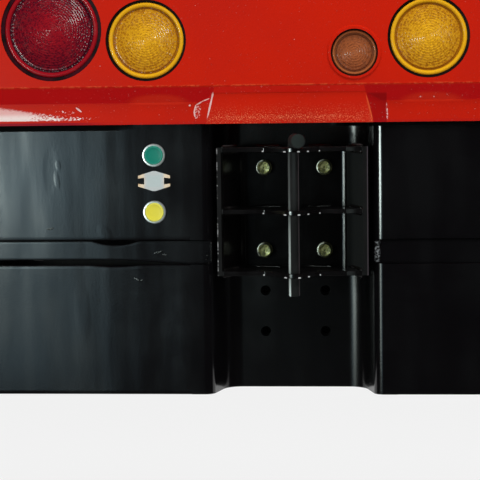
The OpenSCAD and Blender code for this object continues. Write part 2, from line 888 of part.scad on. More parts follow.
recess_channel();
wall_upper(left);  // wall_upper_left
wall_upper(right);  // wall_upper_right
band(left);  // band_left
band(right);  // band_right
wall_lower(left);  // wall_lower_left
wall_lower(right);  // wall_lower_right
doubler_plate();
stiffener(left);  // stiffener_left
stiffener(right);  // stiffener_right
rail(left);  // rail_left
rail(right);  // rail_right
end_plate(left);  // end_plate_left
end_plate(right);  // end_plate_right
cross_tube(rail_top);  // cross_tube_top
cross_tube(-rail_drop - tube_h);  // cross_tube_bottom
bulkhead();
hood();
hood_bracket(left);  // hood_bracket_left
hood_bracket(right);  // hood_bracket_right
coupling_channel();
tow_plate(jaw_pitch);  // tow_plate_top
tow_plate(0);  // tow_plate_middle
tow_plate(-jaw_pitch);  // tow_plate_bottom
coupling_bolt(1);  // coupling_bolt_1
coupling_bolt(2);  // coupling_bolt_2
coupling_bolt(3);  // coupling_bolt_3
coupling_bolt(4);  // coupling_bolt_4
red_lens(-red_x);  // red_lamp_left
red_cup(-red_x);  // red_lamp_left_cup
red_lens(red_x);  // red_lamp_right
red_cup(red_x);  // red_lamp_right_cup
amber_lens(-amber_left_x);  // amber_lamp_left
amber_cup(-amber_left_x);  // amber_lamp_left_cup
amber_lens(amber_right_x);  // amber_lamp_right
amber_cup(amber_right_x);  // amber_lamp_right_cup
reflector_lens();  // reflector
reflector_cup();
button_cap(button_up, "#238c6e");  // button_green
button_bezel(button_up);  // button_green_bezel
button_block(button_up);  // button_green_block
button_cap(0, "#e1dc50");  // button_yellow
button_bezel(0);  // button_yellow_bezel
button_block(0);  // button_yellow_block
direction_sign();
draw_pin();
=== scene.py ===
"""Rear end section of a baggage tug: finishes, lamps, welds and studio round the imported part."""

import math
import random

import bmesh
import bpy
from bpy.props import FloatProperty, FloatVectorProperty, PointerProperty
from bpy.types import Operator, Panel, PropertyGroup
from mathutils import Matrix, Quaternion, Vector, noise


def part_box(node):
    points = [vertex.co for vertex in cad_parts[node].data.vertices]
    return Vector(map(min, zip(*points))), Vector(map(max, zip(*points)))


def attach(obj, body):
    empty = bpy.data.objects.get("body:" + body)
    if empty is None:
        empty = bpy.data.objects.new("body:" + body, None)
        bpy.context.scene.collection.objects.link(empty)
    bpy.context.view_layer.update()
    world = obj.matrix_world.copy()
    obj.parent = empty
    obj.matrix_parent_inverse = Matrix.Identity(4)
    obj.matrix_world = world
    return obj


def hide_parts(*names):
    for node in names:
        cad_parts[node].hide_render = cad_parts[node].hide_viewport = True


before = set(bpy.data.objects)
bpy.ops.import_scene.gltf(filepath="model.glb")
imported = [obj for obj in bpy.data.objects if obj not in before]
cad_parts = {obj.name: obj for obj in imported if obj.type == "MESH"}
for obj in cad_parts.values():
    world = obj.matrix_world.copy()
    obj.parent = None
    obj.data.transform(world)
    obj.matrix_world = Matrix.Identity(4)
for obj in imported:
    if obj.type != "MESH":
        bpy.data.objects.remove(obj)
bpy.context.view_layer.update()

bl_info = {
    "name": "Baggage tug rear end",
    "version": (1, 0, 0),
    "blender": (4, 5, 0),
    "location": "3D View > Sidebar > Tug",
    "description": "Dresses the rear end section of a baggage tug and sets its studio",
    "category": "Object",
}

TAIL = "tail"
LEFT = -1
RIGHT = 1
TOW_PLATES = ("tow_plate_top", "tow_plate_middle", "tow_plate_bottom")

# Places that the frame gives, in metres
UPPER_LOW, UPPER_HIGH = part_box("wall_upper_right")
LOWER_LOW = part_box("wall_lower_right")[0]
BAND_LOW, BAND_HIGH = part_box("band_right")
COUPLING_LOW, COUPLING_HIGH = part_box("coupling_channel")
PIN_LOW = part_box("draw_pin")[0]
SIGN_LOW, SIGN_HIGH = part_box("direction_sign")
WALL_Y = UPPER_LOW.y
SEAM_X = UPPER_LOW.x
BAND_TOP = BAND_HIGH.z
BAND_BOTTOM = BAND_LOW.z
BAND_INSET = BAND_LOW.y - WALL_Y
RECESS_EDGE_X = BAND_LOW.x
RETURN_END_Y = UPPER_HIGH.y
FLOOR_Y = COUPLING_HIGH.y
PLATE_LEVELS = [sum(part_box(name), Vector()).z / 2 for name in TOW_PLATES]
PIN_X = 0.003

# Levels of the hood's creases, and the bulge's half width at the upper one
CREASE_Z = 0.1630
SKIRT_TOP_Z = 0.1415
SKIRT_FOOT_Z = 0.1172
BULGE_X = -0.0025
BULGE_HALF = 0.0955

# Sizes of the rolled plates
PLATE = 0.006
BEND_RADIUS = 0.040
EDGE_RADIUS = 0.0012
SLOT_HEIGHT = 0.006
SLOT_TAPER = 0.090
SLOT_END_X = 0.396
DENT_X = 0.232
DENT_HALF = 0.031
DENT_BAND = 0.006
DENT_LOWER = 0.002

# Sizes of the coupling's bolts
BOLT_HEAD = 0.0075
BOLT_FLAT = 0.009
BOLT_HOLE = 0.0065
THREAD = 0.0060
WASHER = 0.0025

# Half width of the coupling's back
COUPLING_BACK = 0.075

# Distance at which two points become one, and the radius that closes a turned form on its axis
JOIN = 1e-6
TINY = 1e-7


def panel_colour(name, description, default):
    """A colour in the panel."""
    return FloatVectorProperty(
        name=name, description=description, default=default, subtype="COLOR", size=3, min=0, max=1)


def panel_length(name, description, default, low, high, digits=4):
    """A length in the panel, in metres."""
    return FloatProperty(
        name=name, description=description, default=default, min=low, max=high, precision=digits,
        unit="LENGTH", subtype="DISTANCE")


def panel_angle(name, description, degrees):
    """An angle in the panel."""
    return FloatProperty(
        name=name, description=description, default=math.radians(degrees), unit="ROTATION", subtype="ANGLE")


class TugPaint(PropertyGroup):
    hood_red: panel_colour("Hood red", "Colour of the hood's paint", (0.575, 0.014, 0.003))
    wall_black: panel_colour("Wall black", "Colour of the chassis wall's paint", (0.0032, 0.0028, 0.0034))
    coupling_black: panel_colour("Coupling black", "Colour of the coupling's paint", (0.0034, 0.0028, 0.003))
    peel: panel_length("Orange peel", "Depth of the grain in the hood's paint", 0.00006, 0.0, 0.001, 6)
    wave: panel_length("Plate wave", "How far the rolled plates wander from flat", 0.0007, 0.0, 0.002, 5)


class TugLamps(PropertyGroup):
    red: panel_colour("Red lens", "Colour of the red lenses", (0.30, 0.006, 0.014))
    amber: panel_colour("Amber lens", "Colour of the amber lenses", (0.78, 0.40, 0.012))
    dull: panel_colour("Dull reflector", "Colour of the weathered reflector", (0.36, 0.10, 0.03))
    ring_pitch: panel_length("Ring pitch", "Distance from one prism ring to the next", 0.0030, 0.001, 0.006)
    ring_depth: panel_length("Ring depth", "Depth of the prism rings", 0.0005, 0.0, 0.002, 5)


class TugCoupling(PropertyGroup):
    edge: panel_length("Edge radius", "Rounding of the coupling's plate edges", 0.0009, 0.0002, 0.002, 5)
    bead: panel_length("Weld size", "Radius of the weld beads", 0.0030, 0.001, 0.005)
    ripple: panel_length("Weld ripple", "Distance from one ripple to the next", 0.0022, 0.001, 0.005)


class TugButtons(PropertyGroup):
    green: panel_colour("Green cap", "Colour of the upper button", (0.004, 0.215, 0.150))
    yellow: panel_colour("Yellow cap", "Colour of the lower button", (0.80, 0.73, 0.062))


class TugStudio(PropertyGroup):
    camera_x: panel_length("Camera across", "Its distance to the right of the middle", 0.0924, -5.0, 5.0)
    camera_distance: panel_length("Camera distance", "Its distance from the bolting face", 2.2, 0.5, 20.0)
    camera_height: panel_length("Camera height", "Its height above the middle tow plate", 0.1272, -5.0, 5.0)
    camera_turn: panel_angle("Camera turn", "How far the camera is turned to the left", 4.433)
    camera_tilt: panel_angle("Camera tilt", "How far the camera looks down", 4.503)
    camera_roll: panel_angle("Camera roll", "How far the camera leans", 0.679)
    camera_lens: FloatProperty(
        name="Camera lens", description="The camera's focal length for its 36 mm sensor",
        default=120.73, min=20, subtype="DISTANCE_CAMERA")
    floor_drop: panel_length("Floor", "The floor's distance below the middle tow plate", 0.60, 0.25, 5.0)
    window: FloatProperty(
        name="Window", description="Brightness of the low window that the black paint mirrors",
        default=36.0, min=0)
    room: FloatProperty(
        name="Room light", description="Level of the light that comes from all sides",
        default=0.50, min=0, max=1)


def sum_node(operation, swapped=False):
    """A method that takes a shade and another value into a Math node. Swapped, the other value goes first."""
    def method(shade, other):
        first, second = (other, shade) if swapped else (shade, other)
        return shade.finish.node("Math", {"operation": operation}, {0: first, 1: second})
    return method


class Shade:
    """One socket of a finish, which can be used in sums."""

    def __init__(self, finish, socket):
        self.finish = finish
        self.socket = socket

    __add__ = sum_node("ADD")
    __radd__ = sum_node("ADD", True)
    __sub__ = sum_node("SUBTRACT")
    __rsub__ = sum_node("SUBTRACT", True)
    __mul__ = sum_node("MULTIPLY")
    __truediv__ = sum_node("DIVIDE")
    __pow__ = sum_node("POWER")
    larger = sum_node("MAXIMUM")
    smaller = sum_node("MINIMUM")

    def size(self):
        return self.finish.node("Math", {"operation": "ABSOLUTE"}, {0: self})

    def between(self, low, high):
        """0 at low and below, 1 at high and above, and smooth from one to the other."""
        settings = {"interpolation_type": "SMOOTHSTEP"}
        if low < high:
            return self.finish.node("MapRange", settings, {"Value": self, "From Min": low, "From Max": high})
        return 1 - self.finish.node("MapRange", settings, {"Value": self, "From Min": high, "From Max": low})


class Nodes:
    """The node tree of a material or a world, made one call at a time."""

    def __init__(self, owner):
        owner.use_nodes = True
        self.tree = owner.node_tree
        self.tree.nodes.clear()

    def node(self, kind, settings=None, sockets=None, out=0):
        """Adds a node with its settings, and then its socket values or links. Gives its output."""
        made = self.tree.nodes.new("ShaderNode" + kind)
        for name, value in (settings or {}).items():
            setattr(made, name, value)
        for name, value in (sockets or {}).items():
            socket = made.inputs[name]
            if isinstance(value, Shade):
                self.tree.links.new(value.socket, socket)
            elif socket.type == "RGBA":
                socket.default_value = (*value[:3], 1.0)
            else:
                socket.default_value = value
        return Shade(self, made.outputs[out]) if len(made.outputs) else None

    def seen(self):
        """1 where the camera sees a surface, straight, in a reflection or through glass."""
        rays = ("Is Camera Ray", "Is Glossy Ray", "Is Transmission Ray")
        camera, mirror, glass = (self.node("LightPath", out=ray) for ray in rays)
        return camera.larger(mirror).larger(glass)


class Finish(Nodes):
    """A material with its colour and its relief, which are laid over what is there already."""

    def __init__(self, name):
        self.material = bpy.data.materials.new(name)
        super().__init__(self.material)
        self.place = self.node("TexCoord", out="Object")
        self.x, self.y, self.z = (self.node("SeparateXYZ", None, {0: self.place}, out=i) for i in range(3))
        self.base = None
        self.relief = None

    def mix(self, first, second, share):
        """Colour that goes from first to second."""
        return self.node("Mix", {"data_type": "RGBA"}, {0: share, 6: first, 7: second}, out=2)

    def grain(self, scale, detail=2.0, rough=0.5, place=None):
        """Noise from 0 to 1, at so many lumps per metre."""
        return self.node("TexNoise", None, {
            "Vector": place or self.place, "Scale": scale, "Detail": detail, "Roughness": rough})

    def streaks(self, scales, detail=2.0, rough=0.5):
        """Noise that has its own number of lumps per metre along each axis."""
        place = self.node("VectorMath", {"operation": "MULTIPLY"}, {0: self.place, 1: scales})
        return self.grain(1.0, detail, rough, place)

    def cells(self, scale):
        """How far the nearest of many scattered points is, at so many points per metre."""
        return self.node("TexVoronoi", None, {"Vector": self.place, "Scale": scale})

    def spot(self, x, z, half_x, half_z, lean=0.0):
        """1 in the middle of an ellipse on the wall's plane, and 0 at its edge and outside."""
        across = self.x - x
        up = self.z - z
        if lean:
            turned = across * math.cos(lean) + up * math.sin(lean)
            up = up * math.cos(lean) - across * math.sin(lean)
            across = turned
        across = across / half_x
        up = up / half_z
        return (1 - (across * across + up * up)).larger(0.0)

    def stroke(self, start, end, half):
        """1 along the middle of a line on the wall's plane that thins out to its ends."""
        across, up = end[0] - start[0], end[1] - start[1]
        return self.spot((start[0] + end[0]) / 2, (start[1] + end[1]) / 2,
                         half, math.hypot(across, up) / 2, -math.atan2(across, up))

    def off_axis(self):
        """Distance from the piece's own axis, which runs along Y."""
        return (self.x * self.x + self.z * self.z) ** 0.5

    def spots(self, *rows):
        """Several spots, from the values that spot takes."""
        return added([self.spot(*row) for row in rows])

    def start(self, first, second, share):
        """The first coat, which goes from one colour to the other."""
        self.base = self.mix(first, second, share)

    def cover(self, colour, share):
        """Lays a colour over the coats that are there."""
        self.base = self.mix(self.base, colour, share)

    def emboss(self, height, depth):
        """Raises the relief by a signal, at so many metres for 1."""
        sockets = {"Strength": 1.0, "Distance": depth, "Height": height}
        if self.relief:
            sockets["Normal"] = self.relief
        self.relief = self.node("Bump", None, sockets)

    def surface(self, rough, constants=None):
        """Ends the material in its surface shader."""
        sockets = {"Base Color": self.base, "Roughness": rough, **(constants or {})}
        if self.relief:
            sockets["Normal"] = self.relief
        self.node("OutputMaterial", None, {"Surface": self.node("BsdfPrincipled", None, sockets)})
        return self.material


def added(signals):
    """The sum of several signals."""
    total = signals[0]
    for signal in signals[1:]:
        total = total + signal
    return total


# Finishes

def wall_finish(paint):
    f = Finish("wall_paint")
    streaks = f.streaks((16.0, 16.0, 2.6), 3.0, 0.55)
    cloud = f.grain(9.0, 4.0, 0.6)
    peel = f.grain(420.0, 2.0)
    dust = (cloud * streaks).between(0.16, 0.42)
    rolled = f.streaks((30.0, 30.0, 6.0), 1.0, 0.4)
    fleck = f.cells(95.0).between(0.07, 0.03) * f.grain(14.0).between(0.60, 0.68)
    marks = f.spots(
        (-0.176, -0.0530, 0.0060, 0.0018, 0.3), (-0.168, -0.0560, 0.0030, 0.0015),
        (-0.205, -0.0880, 0.0040, 0.0016, -0.4), (-0.199, -0.0890, 0.0018, 0.0012),
        (-0.256, -0.1160, 0.0012, 0.0010), (-0.318, -0.0210, 0.0050, 0.0012, 0.2)).between(0.0, 0.5)
    # Painted shadow along the top edge under the skirt and at the recess's right top, a mask that also bumps
    # the edge to lean out and mirror the dark floor
    lean = (f.z - 0.1062).larger(0.0) * f.x.between(-0.205, -0.243)
    lean = lean + (f.z - 0.1088).larger(0.0) * f.x.between(0.045, 0.070) * 1.6
    folds = added([f.stroke(start, end, half).between(0.0, 1.0) * rise for start, end, half, rise in (
        ((-0.307, 0.070), (-0.305, 0.054), 0.0040, 1.0), ((-0.310, 0.056), (-0.306, 0.028), 0.0042, 1.0),
        ((-0.316, 0.090), (-0.318, 0.020), 0.0100, -1.0), ((-0.256, -0.016), (-0.236, -0.038), 0.0090, 1.0),
        ((-0.280, -0.082), (-0.276, -0.180), 0.0120, 1.0))])
    # The recess is sprayed duller inside, and glossier on its outer bends
    deep = f.y.between(-0.110, -0.085)
    bend = f.x.size().between(0.1185, 0.1172) * (1 - deep)
    f.start(paint.wall_black, (0.0062, 0.0064, 0.0070), dust * 0.55)
    f.cover((0.035, 0.036, 0.038), fleck * 0.5)
    f.cover((0.003, 0.003, 0.003), (marks + (lean * 400.0).smaller(1.0)).smaller(1.0))
    crumple = f.streaks((75.0, 75.0, 24.0), 2.0, 0.5)
    f.emboss(rolled, 0.00045)
    f.emboss(crumple, 0.00005)
    f.emboss(folds, 0.00006)
    f.emboss(lean, 0.35)
    f.emboss(peel, 0.000035)
    f.emboss(marks * f.grain(700.0), 0.0005)
    return f.surface(0.15 + dust * 0.06 + peel * 0.03 + deep * 0.06 - bend * 0.02)


def frame_finish():
    f = Finish("frame_paint")
    cloud = f.grain(14.0, 5.0, 0.6)
    spray = f.grain(650.0, 2.0)
    rust = f.grain(38.0, 6.0, 0.65).between(0.66, 0.74)
    f.start((0.012, 0.012, 0.0125), (0.030, 0.029, 0.028), cloud.between(0.35, 0.7))
    f.cover((0.085, 0.034, 0.014), rust * 0.6)
    # Behind the open slot the frame is painted darker as shade
    slot_shade = (f.z - BAND_BOTTOM).size().between(0.024, 0.020)
    slot_shade = slot_shade * f.x.between(-0.090, -0.110) * f.y.between(-0.07, -0.09)
    f.cover((0.001, 0.001, 0.001), slot_shade)
    f.emboss(rust, 0.0001)
    f.emboss(spray, 0.00005)
    return f.surface(0.48 + cloud * 0.14 + rust * 0.2 + slot_shade * 0.3, {"Specular IOR Level": 0.2})


def hood_finish(paint):
    f = Finish("hood_paint")
    cloud = f.grain(7.0, 3.0)
    peel = f.grain(300.0, 3.0, 0.55)
    fine = f.grain(900.0, 2.0)
    sand = f.grain(700.0, 3.0, 0.7)
    bulge = on_bulge(f)
    f.start(paint.hood_red, (0.47, 0.012, 0.006), cloud.between(0.35, 0.7) * 0.5)
    # Painted reflection as lighter arches under the amber lamps, and a painted highlight on the bulge's brow
    lamp_reflection_arch = f.spots((-0.172, 0.1425, 0.046, 0.0125), (0.179, 0.1415, 0.046, 0.0125)).between(0.0, 0.7)
    f.cover((0.76, 0.034, 0.010), lamp_reflection_arch * 0.75 * f.z.between(0.1385, 0.1420))
    brow_highlight = f.z.between(0.1528, 0.1545) * f.z.between(CREASE_Z - 0.0005, CREASE_Z - 0.0025) * bulge
    f.cover((0.78, 0.014, 0.007), brow_highlight * 0.75)
    # Painted shade in crimson on the slope between the crease and the skirt
    slope = f.z.between(SKIRT_TOP_Z - 0.0017, SKIRT_TOP_Z + 0.0017)
    slope = slope * f.z.between(CREASE_Z - 0.0005, CREASE_Z - 0.0030) * (1 - bulge) * (1 - lamp_reflection_arch * 0.6)
    f.cover((0.56, 0.003, 0.006), slope * 0.8)
    # Painted sparkling highlights along the crease, over the lower bulge and on its foot
    crease_highlight = (f.z - CREASE_Z).size().between(0.0019, 0.0004) * f.grain(150.0, 3.0, 0.7).between(0.42, 0.62)
    low = f.z.between(0.1450, 0.1180) * bulge
    foot = (f.z - 0.1218).size().between(0.0046, 0.0004)
    foot = foot * f.x.between(-0.104, -0.094) * f.x.between(0.092, 0.060)
    highlight_grains = ((sand - 0.5) * 1.8 + low * 0.045 + foot * 0.065).between(0.120, 0.280)
    highlight_grains = highlight_grains * (low + foot).smaller(1.0)
    # Painted highlight along the bulge's right edge, and painted shade on the facet beside it
    rim = f.stroke((0.0950, 0.1515), (0.1046, 0.1130), 0.0013).between(0.0, 0.5)
    facet_shade = (f.x - 0.0955 - (0.1515 - f.z) * 0.249).between(-0.0004, 0.0008) * f.x.between(0.1226, 0.1208)
    f.cover((0.31, 0.003, 0.004), facet_shade * f.z.between(0.1530, 0.1495) * 0.8)
    f.cover((0.70, 0.10, 0.03), (crease_highlight * 0.55 + rim * 0.6).smaller(1.0))
    f.cover((0.80, 0.27, 0.13), highlight_grains * 0.75)
    # Painted shade in crimson on the lip where the skirt's lower edge turns under, more at the left
    lip_shade = f.z.between(SKIRT_FOOT_Z + 0.0008, SKIRT_FOOT_Z - 0.0008)
    lip_shade = lip_shade * (0.14 + f.x.between(-0.23, -0.30) * 0.70) * (1 - bulge * 0.6)
    f.cover((0.22, 0.003, 0.018), lip_shade)
    # Chalky rub at the skirt's left that is partly painted glare, whitest low down and at the far left, then
    # the worn marks
    rub = chalk_rub_and_glare(f)
    worn = worn_marks(f)
    white = f.z.between(0.1310, 0.1235).larger(f.x.between(-0.330, -0.316))
    chalky = f.mix((0.88, 0.52, 0.49), (0.96, 0.85, 0.80), white)
    f.cover(chalky, rub * 0.92)
    f.cover((0.86, 0.58, 0.54), worn * 0.88)
    f.emboss(peel, paint.peel)
    f.emboss(fine, 0.000012)
    f.emboss(worn + rub, 0.00006)
    return f.surface(0.27 + cloud * 0.05 + (worn + rub).smaller(1.0) * 0.30, {"Specular IOR Level": 0.04})


def chalk_rub_and_glare(f):
    """Chalky rub with painted glare at the skirt's left, with slanted grain, that thins out to the right."""
    inside = (-0.2929 - f.x) * 0.155 + 0.1236 - f.z
    chalk = inside.between(-0.006, 0.004) * f.z.between(0.1188, 0.1206) * f.x.between(-0.286, -0.300)
    slanted = f.grain(1.0, 3.0, 0.65, f.node("CombineXYZ", None, {
        "X": f.x * 250.0 + f.z * 210.0, "Y": f.y * 150.0, "Z": f.z * 420.0 - f.x * 200.0}))
    close = f.x.between(-0.318, -0.350)
    rub = (chalk * (0.95 + close * 0.3) + (slanted - 0.5) * (3.2 - close * 2.0) - 0.42).between(0.05, 0.80)
    tail = f.spot(-0.2830, 0.1222, 0.038, 0.0040)
    few = f.spot(-0.2950, 0.1290, 0.040, 0.0080)
    tail = (tail + (slanted - 0.5) * 3.4 - 0.90).between(0.0, 0.25) * tail.between(0.0, 0.2)
    few = (few * 0.6 + (slanted - 0.5) * 3.4 - 0.90).between(0.0, 0.25) * few.between(0.0, 0.2) * 0.8
    return rub.larger(tail).larger(few)


def worn_marks(f):
    """Rubbed leaf and worn edge of the bulge's left flank, with scratches, dots and chips round it."""
    speck = f.grain(430.0, 3.0, 0.7)
    leaf = added([f.stroke(start, end, half) * strength for start, end, half, strength in (
        ((-0.1030, 0.1474), (-0.1160, 0.1426), 0.0009, 1.0),
        ((-0.1130, 0.1440), (-0.1244, 0.1376), 0.0010, 1.0),
        ((-0.1232, 0.1392), (-0.1264, 0.1270), 0.0012, 1.0),
        ((-0.1262, 0.1300), (-0.1240, 0.1215), 0.0013, 1.0),
        ((-0.1255, 0.1215), (-0.1205, 0.1222), 0.0008, 0.7))])
    patch = f.spot(-0.1212, 0.1300, 0.0052, 0.0098, -0.22).between(0.0, 0.6) * 0.6 + (speck - 0.5) * 3.6
    worn = (leaf + (speck - 0.5) * 2.0).between(0.15, 0.60) * leaf.between(0.0, 0.2)
    near = f.spot(-0.1212, 0.1300, 0.0060, 0.0110, -0.22).between(0.0, 0.3)
    worn = worn.larger(patch.between(0.50, 0.80) * near * 0.7)
    edge = f.stroke((-0.1092, 0.1175), (-0.0998, 0.1560), 0.0014)
    edge = (edge + (speck - 0.5) * 1.6).between(0.15, 0.50) * edge.between(0.0, 0.2)
    knob = f.spot(-0.1011, 0.1508, 0.0016, 0.0042, -0.2)
    scratch = added([
        f.stroke((-0.2805, 0.1372), (-0.2722, 0.1306), 0.0013), f.spot(-0.1314, 0.1380, 0.0015, 0.0013),
        f.stroke((-0.2985, 0.1330), (-0.2960, 0.1305), 0.0011)])
    dots = f.stroke((0.1214, 0.1395), (0.1229, 0.1140), 0.0013).between(0.0, 0.5) * speck.between(0.47, 0.58)
    dots = dots + f.spots((0.1647, 0.1457, 0.0013, 0.0011), (0.1818, 0.1455, 0.0011, 0.0011)) * 0.8
    chips = f.cells(85.0).between(0.050, 0.03) * f.grain(9.0).between(0.56, 0.66) * f.z.between(0.135, 0.128)
    return added([worn, edge, knob, scratch.between(0.0, 0.4), dots, chips]).smaller(1.0)


def on_bulge(f):
    """1 on the front of the hood's middle bulge, and 0 beside it."""
    spread = BULGE_HALF + (CREASE_Z - f.z) * 0.235
    return ((f.x - BULGE_X).size() - spread).between(0.0010, -0.0010)


def coupling_finish(paint):
    f = Finish("coupling_paint")
    cloud = f.grain(22.0, 4.0, 0.6)
    runs = f.streaks((70.0, 70.0, 18.0), 3.0, 0.5)
    fine = f.grain(500.0, 2.0)
    f.start(paint.coupling_black, (0.0105, 0.0100, 0.0105), cloud.between(0.42, 0.75) * 0.6)
    # Painted glints as pale spots at a few places on the plate edges, and duller sides
    spans = ((-0.0375, 0.0012), (-0.0078, 0.0022), (0.0101, 0.0020), (0.0215, 0.0014), (0.0355, 0.0009))
    painted_glints = added([f.spot(x, level - 0.0022, half, 0.0012) for level in PLATE_LEVELS for x, half in spans])
    painted_glints = painted_glints.smaller(1.0) * f.y.between(WALL_Y - 0.006, WALL_Y - 0.009)
    inside = f.y.between(COUPLING_LOW.y + 0.0002, COUPLING_LOW.y + 0.0010)
    dull = f.x.between(-0.0895, -0.0910).larger(f.x.between(0.0690, 0.0710) * inside)
    dull = dull.larger(f.x.between(0.0895, 0.0905) * f.x.between(0.0950, 0.0940))
    rim = f.x.size().between(0.0958, 0.0966) * f.x.size().between(0.0984, 0.0976)
    highlight_dashes = f.streaks((20.0, 20.0, 160.0), 3.0, 0.7).between(0.50, 0.60)
    # Painted highlight lines on the sides' front edges: a dim one on the right, a dashed pale one on the left
    f.cover((0.052, 0.042, 0.049), rim * f.x.between(0.0, 0.01))
    f.cover((0.30, 0.31, 0.31), rim * highlight_dashes * f.x.between(0.0, -0.01))
    f.cover((0.66, 0.68, 0.68), painted_glints.between(0.0, 0.5))
    f.emboss(runs, 0.00022)
    f.emboss(fine, 0.00002)
    f.emboss(painted_glints, -0.00006)
    return f.surface(0.15 + cloud * 0.08 + (painted_glints + dull).smaller(1.0) * 0.78)


def weld_finish():
    f = Finish("weld_paint")
    cloud = f.grain(60.0, 4.0, 0.6)
    f.start((0.004, 0.0035, 0.0035), (0.020, 0.018, 0.017), cloud.between(0.45, 0.75))
    # Bare grains where the right band meets the recess
    bare = f.x.between(0.100, 0.104) * (f.z - (BAND_TOP + BAND_BOTTOM) / 2).size().between(0.014, 0.012)
    bare = bare * f.grain(260.0, 3.0, 0.7).between(0.50, 0.60)
    f.cover((0.24, 0.26, 0.27), bare)
    f.emboss(f.grain(420.0, 3.0), 0.00012)
    return f.surface(0.16 + cloud * 0.12 + bare * 0.4)


def pin_finish():
    f = Finish("pin_steel")
    cloud = f.grain(40.0, 4.0, 0.6)
    turning = f.streaks((90.0, 90.0, 900.0), 2.0, 0.5)
    end = f.y.between(PIN_LOW.y + 0.0035, PIN_LOW.y + 0.0010)
    rub = f.grain(120.0, 5.0, 0.7).between(0.60, 0.72) * f.z.between(-0.090, -0.098)
    f.start((0.0042, 0.0040, 0.0042), (0.012, 0.0118, 0.0120), cloud.between(0.4, 0.75))
    f.cover((0.014, 0.023, 0.020), end * (0.6 + cloud * 0.4))
    out = f.x - PIN_X
    # Painted reflection of the red hood on the grip's upper left
    hood_reflection = f.y.between(PIN_LOW.y + 0.0012, PIN_LOW.y + 0.0030) * f.z.between(0.102, 0.104)
    hood_reflection = hood_reflection * out.between(-0.001, -0.004)
    f.cover((0.75, 0.010, 0.045), hood_reflection)
    f.cover((0.20, 0.19, 0.18), rub * 0.45)
    # Painted highlight line down its left side, brighter lower down
    low = f.z.between(0.085, -0.110)
    bar = f.z.between(0.084, 0.078)
    pale_highlight = out.between(-0.0075, -0.0068) * out.between(-0.0037, -0.0048)
    pale_highlight = pale_highlight * bar * (0.10 + low ** 2.0 * 0.90)
    pale_highlight = pale_highlight * (0.75 + f.streaks((500.0, 500.0, 30.0), 3.0, 0.6).between(0.35, 0.6) * 0.25)
    f.cover((0.80, 0.94, 0.89), pale_highlight)
    # Painted dim highlight along its right side, then a painted dim reflection down its middle
    f.cover((0.050, 0.042, 0.046), out.between(0.0056, 0.0061) * bar)
    middle = (out - 0.0008).size().between(0.0026, 0.0010) * f.z.between(-0.02, 0.06) * bar
    f.cover((0.015, 0.019, 0.019), middle)
    f.emboss(cloud, 0.00010)
    f.emboss(turning, 0.00002)
    return f.surface(0.88 + cloud * 0.10, {"Metallic": rub * 0.6})


def zinc_finish():
    f = Finish("yellow_zinc")
    cloud = f.grain(170.0, 4.0, 0.6)
    stain = f.grain(330.0, 5.0, 0.65)
    scratches = f.streaks((1800.0, 300.0, 240.0), 4.0, 0.6)
    r = f.off_axis()
    f.start((0.46, 0.48, 0.17), (0.17, 0.19, 0.065), cloud.between(0.42, 0.58))
    f.cover((0.85, 0.84, 0.50), stain.between(0.56, 0.66) * 0.85)
    f.cover((0.025, 0.028, 0.010), stain.between(0.47, 0.40) * 0.90)
    # Painted shade in the groove round the head and over the washer, and a painted highlight on the washer's
    # upper left edge
    groove = (r - 0.0086).size().between(0.0010, 0.0004)
    pale_highlight = r.between(0.0088, 0.0092) * (f.z * 0.35 - f.x).between(0.0030, 0.0060)
    f.cover((0.020, 0.022, 0.010), (groove + r.between(0.0088, 0.0092) * 0.6).smaller(1.0))
    f.cover((0.90, 0.94, 0.78), pale_highlight)
    f.emboss(cloud + stain * 0.5, 0.00035)
    f.emboss(scratches, 0.00005)
    return f.surface(0.30 + cloud * 0.22, {"Metallic": 0.45})


def lens_finish(name, colour, deep, bright, radius, ring_width, rough):
    """Moulded lens: a bright outer ring as a painted highlight, a dark groove as painted shade, a painted
    glow towards the middle, and a prism field with its own depth.
    """
    f = Finish(name)
    r = f.off_axis()
    # Painted highlight on the outer ring, painted shade in the groove and a painted glow towards the middle
    ring = r.between(radius - ring_width - 0.0006, radius - ring_width + 0.0006)
    groove = r.between(radius - ring_width - 0.0040, radius - ring_width - 0.0030) * (1 - ring)
    prism = f.cells(330.0)
    glow = r.between(radius * 0.85, 0.0)
    f.start(deep, colour, (glow * 0.6 + prism.between(0.15, 0.75) * 0.55).smaller(1.0))
    f.cover(deep, groove * 0.85)
    f.cover(bright, ring * 0.9)
    dusty = f.grain(60.0, 4.0, 0.6).between(0.52, 0.75)
    f.cover((0.30, 0.26, 0.22), dusty * 0.06)
    f.emboss((1 - ring) * prism, 0.00050)
    return f.surface(rough + dusty * 0.10, {
        "Coat Weight": 0.15, "Coat Roughness": 0.05, "IOR": 1.49, "Specular IOR Level": 0.12})


def cup_finish(name, ring):
    f = Finish(name)
    spark = f.grain(900.0, 2.0)
    dust = f.grain(70.0, 4.0, 0.6)
    f.start((0.006, 0.005, 0.005), ring, dust.between(0.25, 0.75))
    f.emboss(spark, 0.00004)
    return f.surface(0.45 + dust * 0.2, {"Specular IOR Level": 0.08})


def cap_finish(name, colour, lighter):
    f = Finish(name)
    r = f.off_axis()
    rim = r.between(0.0098, 0.0106)
    wear = f.grain(240.0, 5.0, 0.65)
    soil = f.grain(90.0, 4.0, 0.6).between(0.55, 0.8)
    f.start(colour, lighter, (rim * 0.75 + wear.between(0.5, 0.8) * 0.12).smaller(1.0))
    f.cover((0.05, 0.045, 0.03), soil * 0.10)
    f.emboss(f.grain(1500.0), 0.00001)
    return f.surface(0.34 + wear * 0.14, {"Specular IOR Level": 0.15})


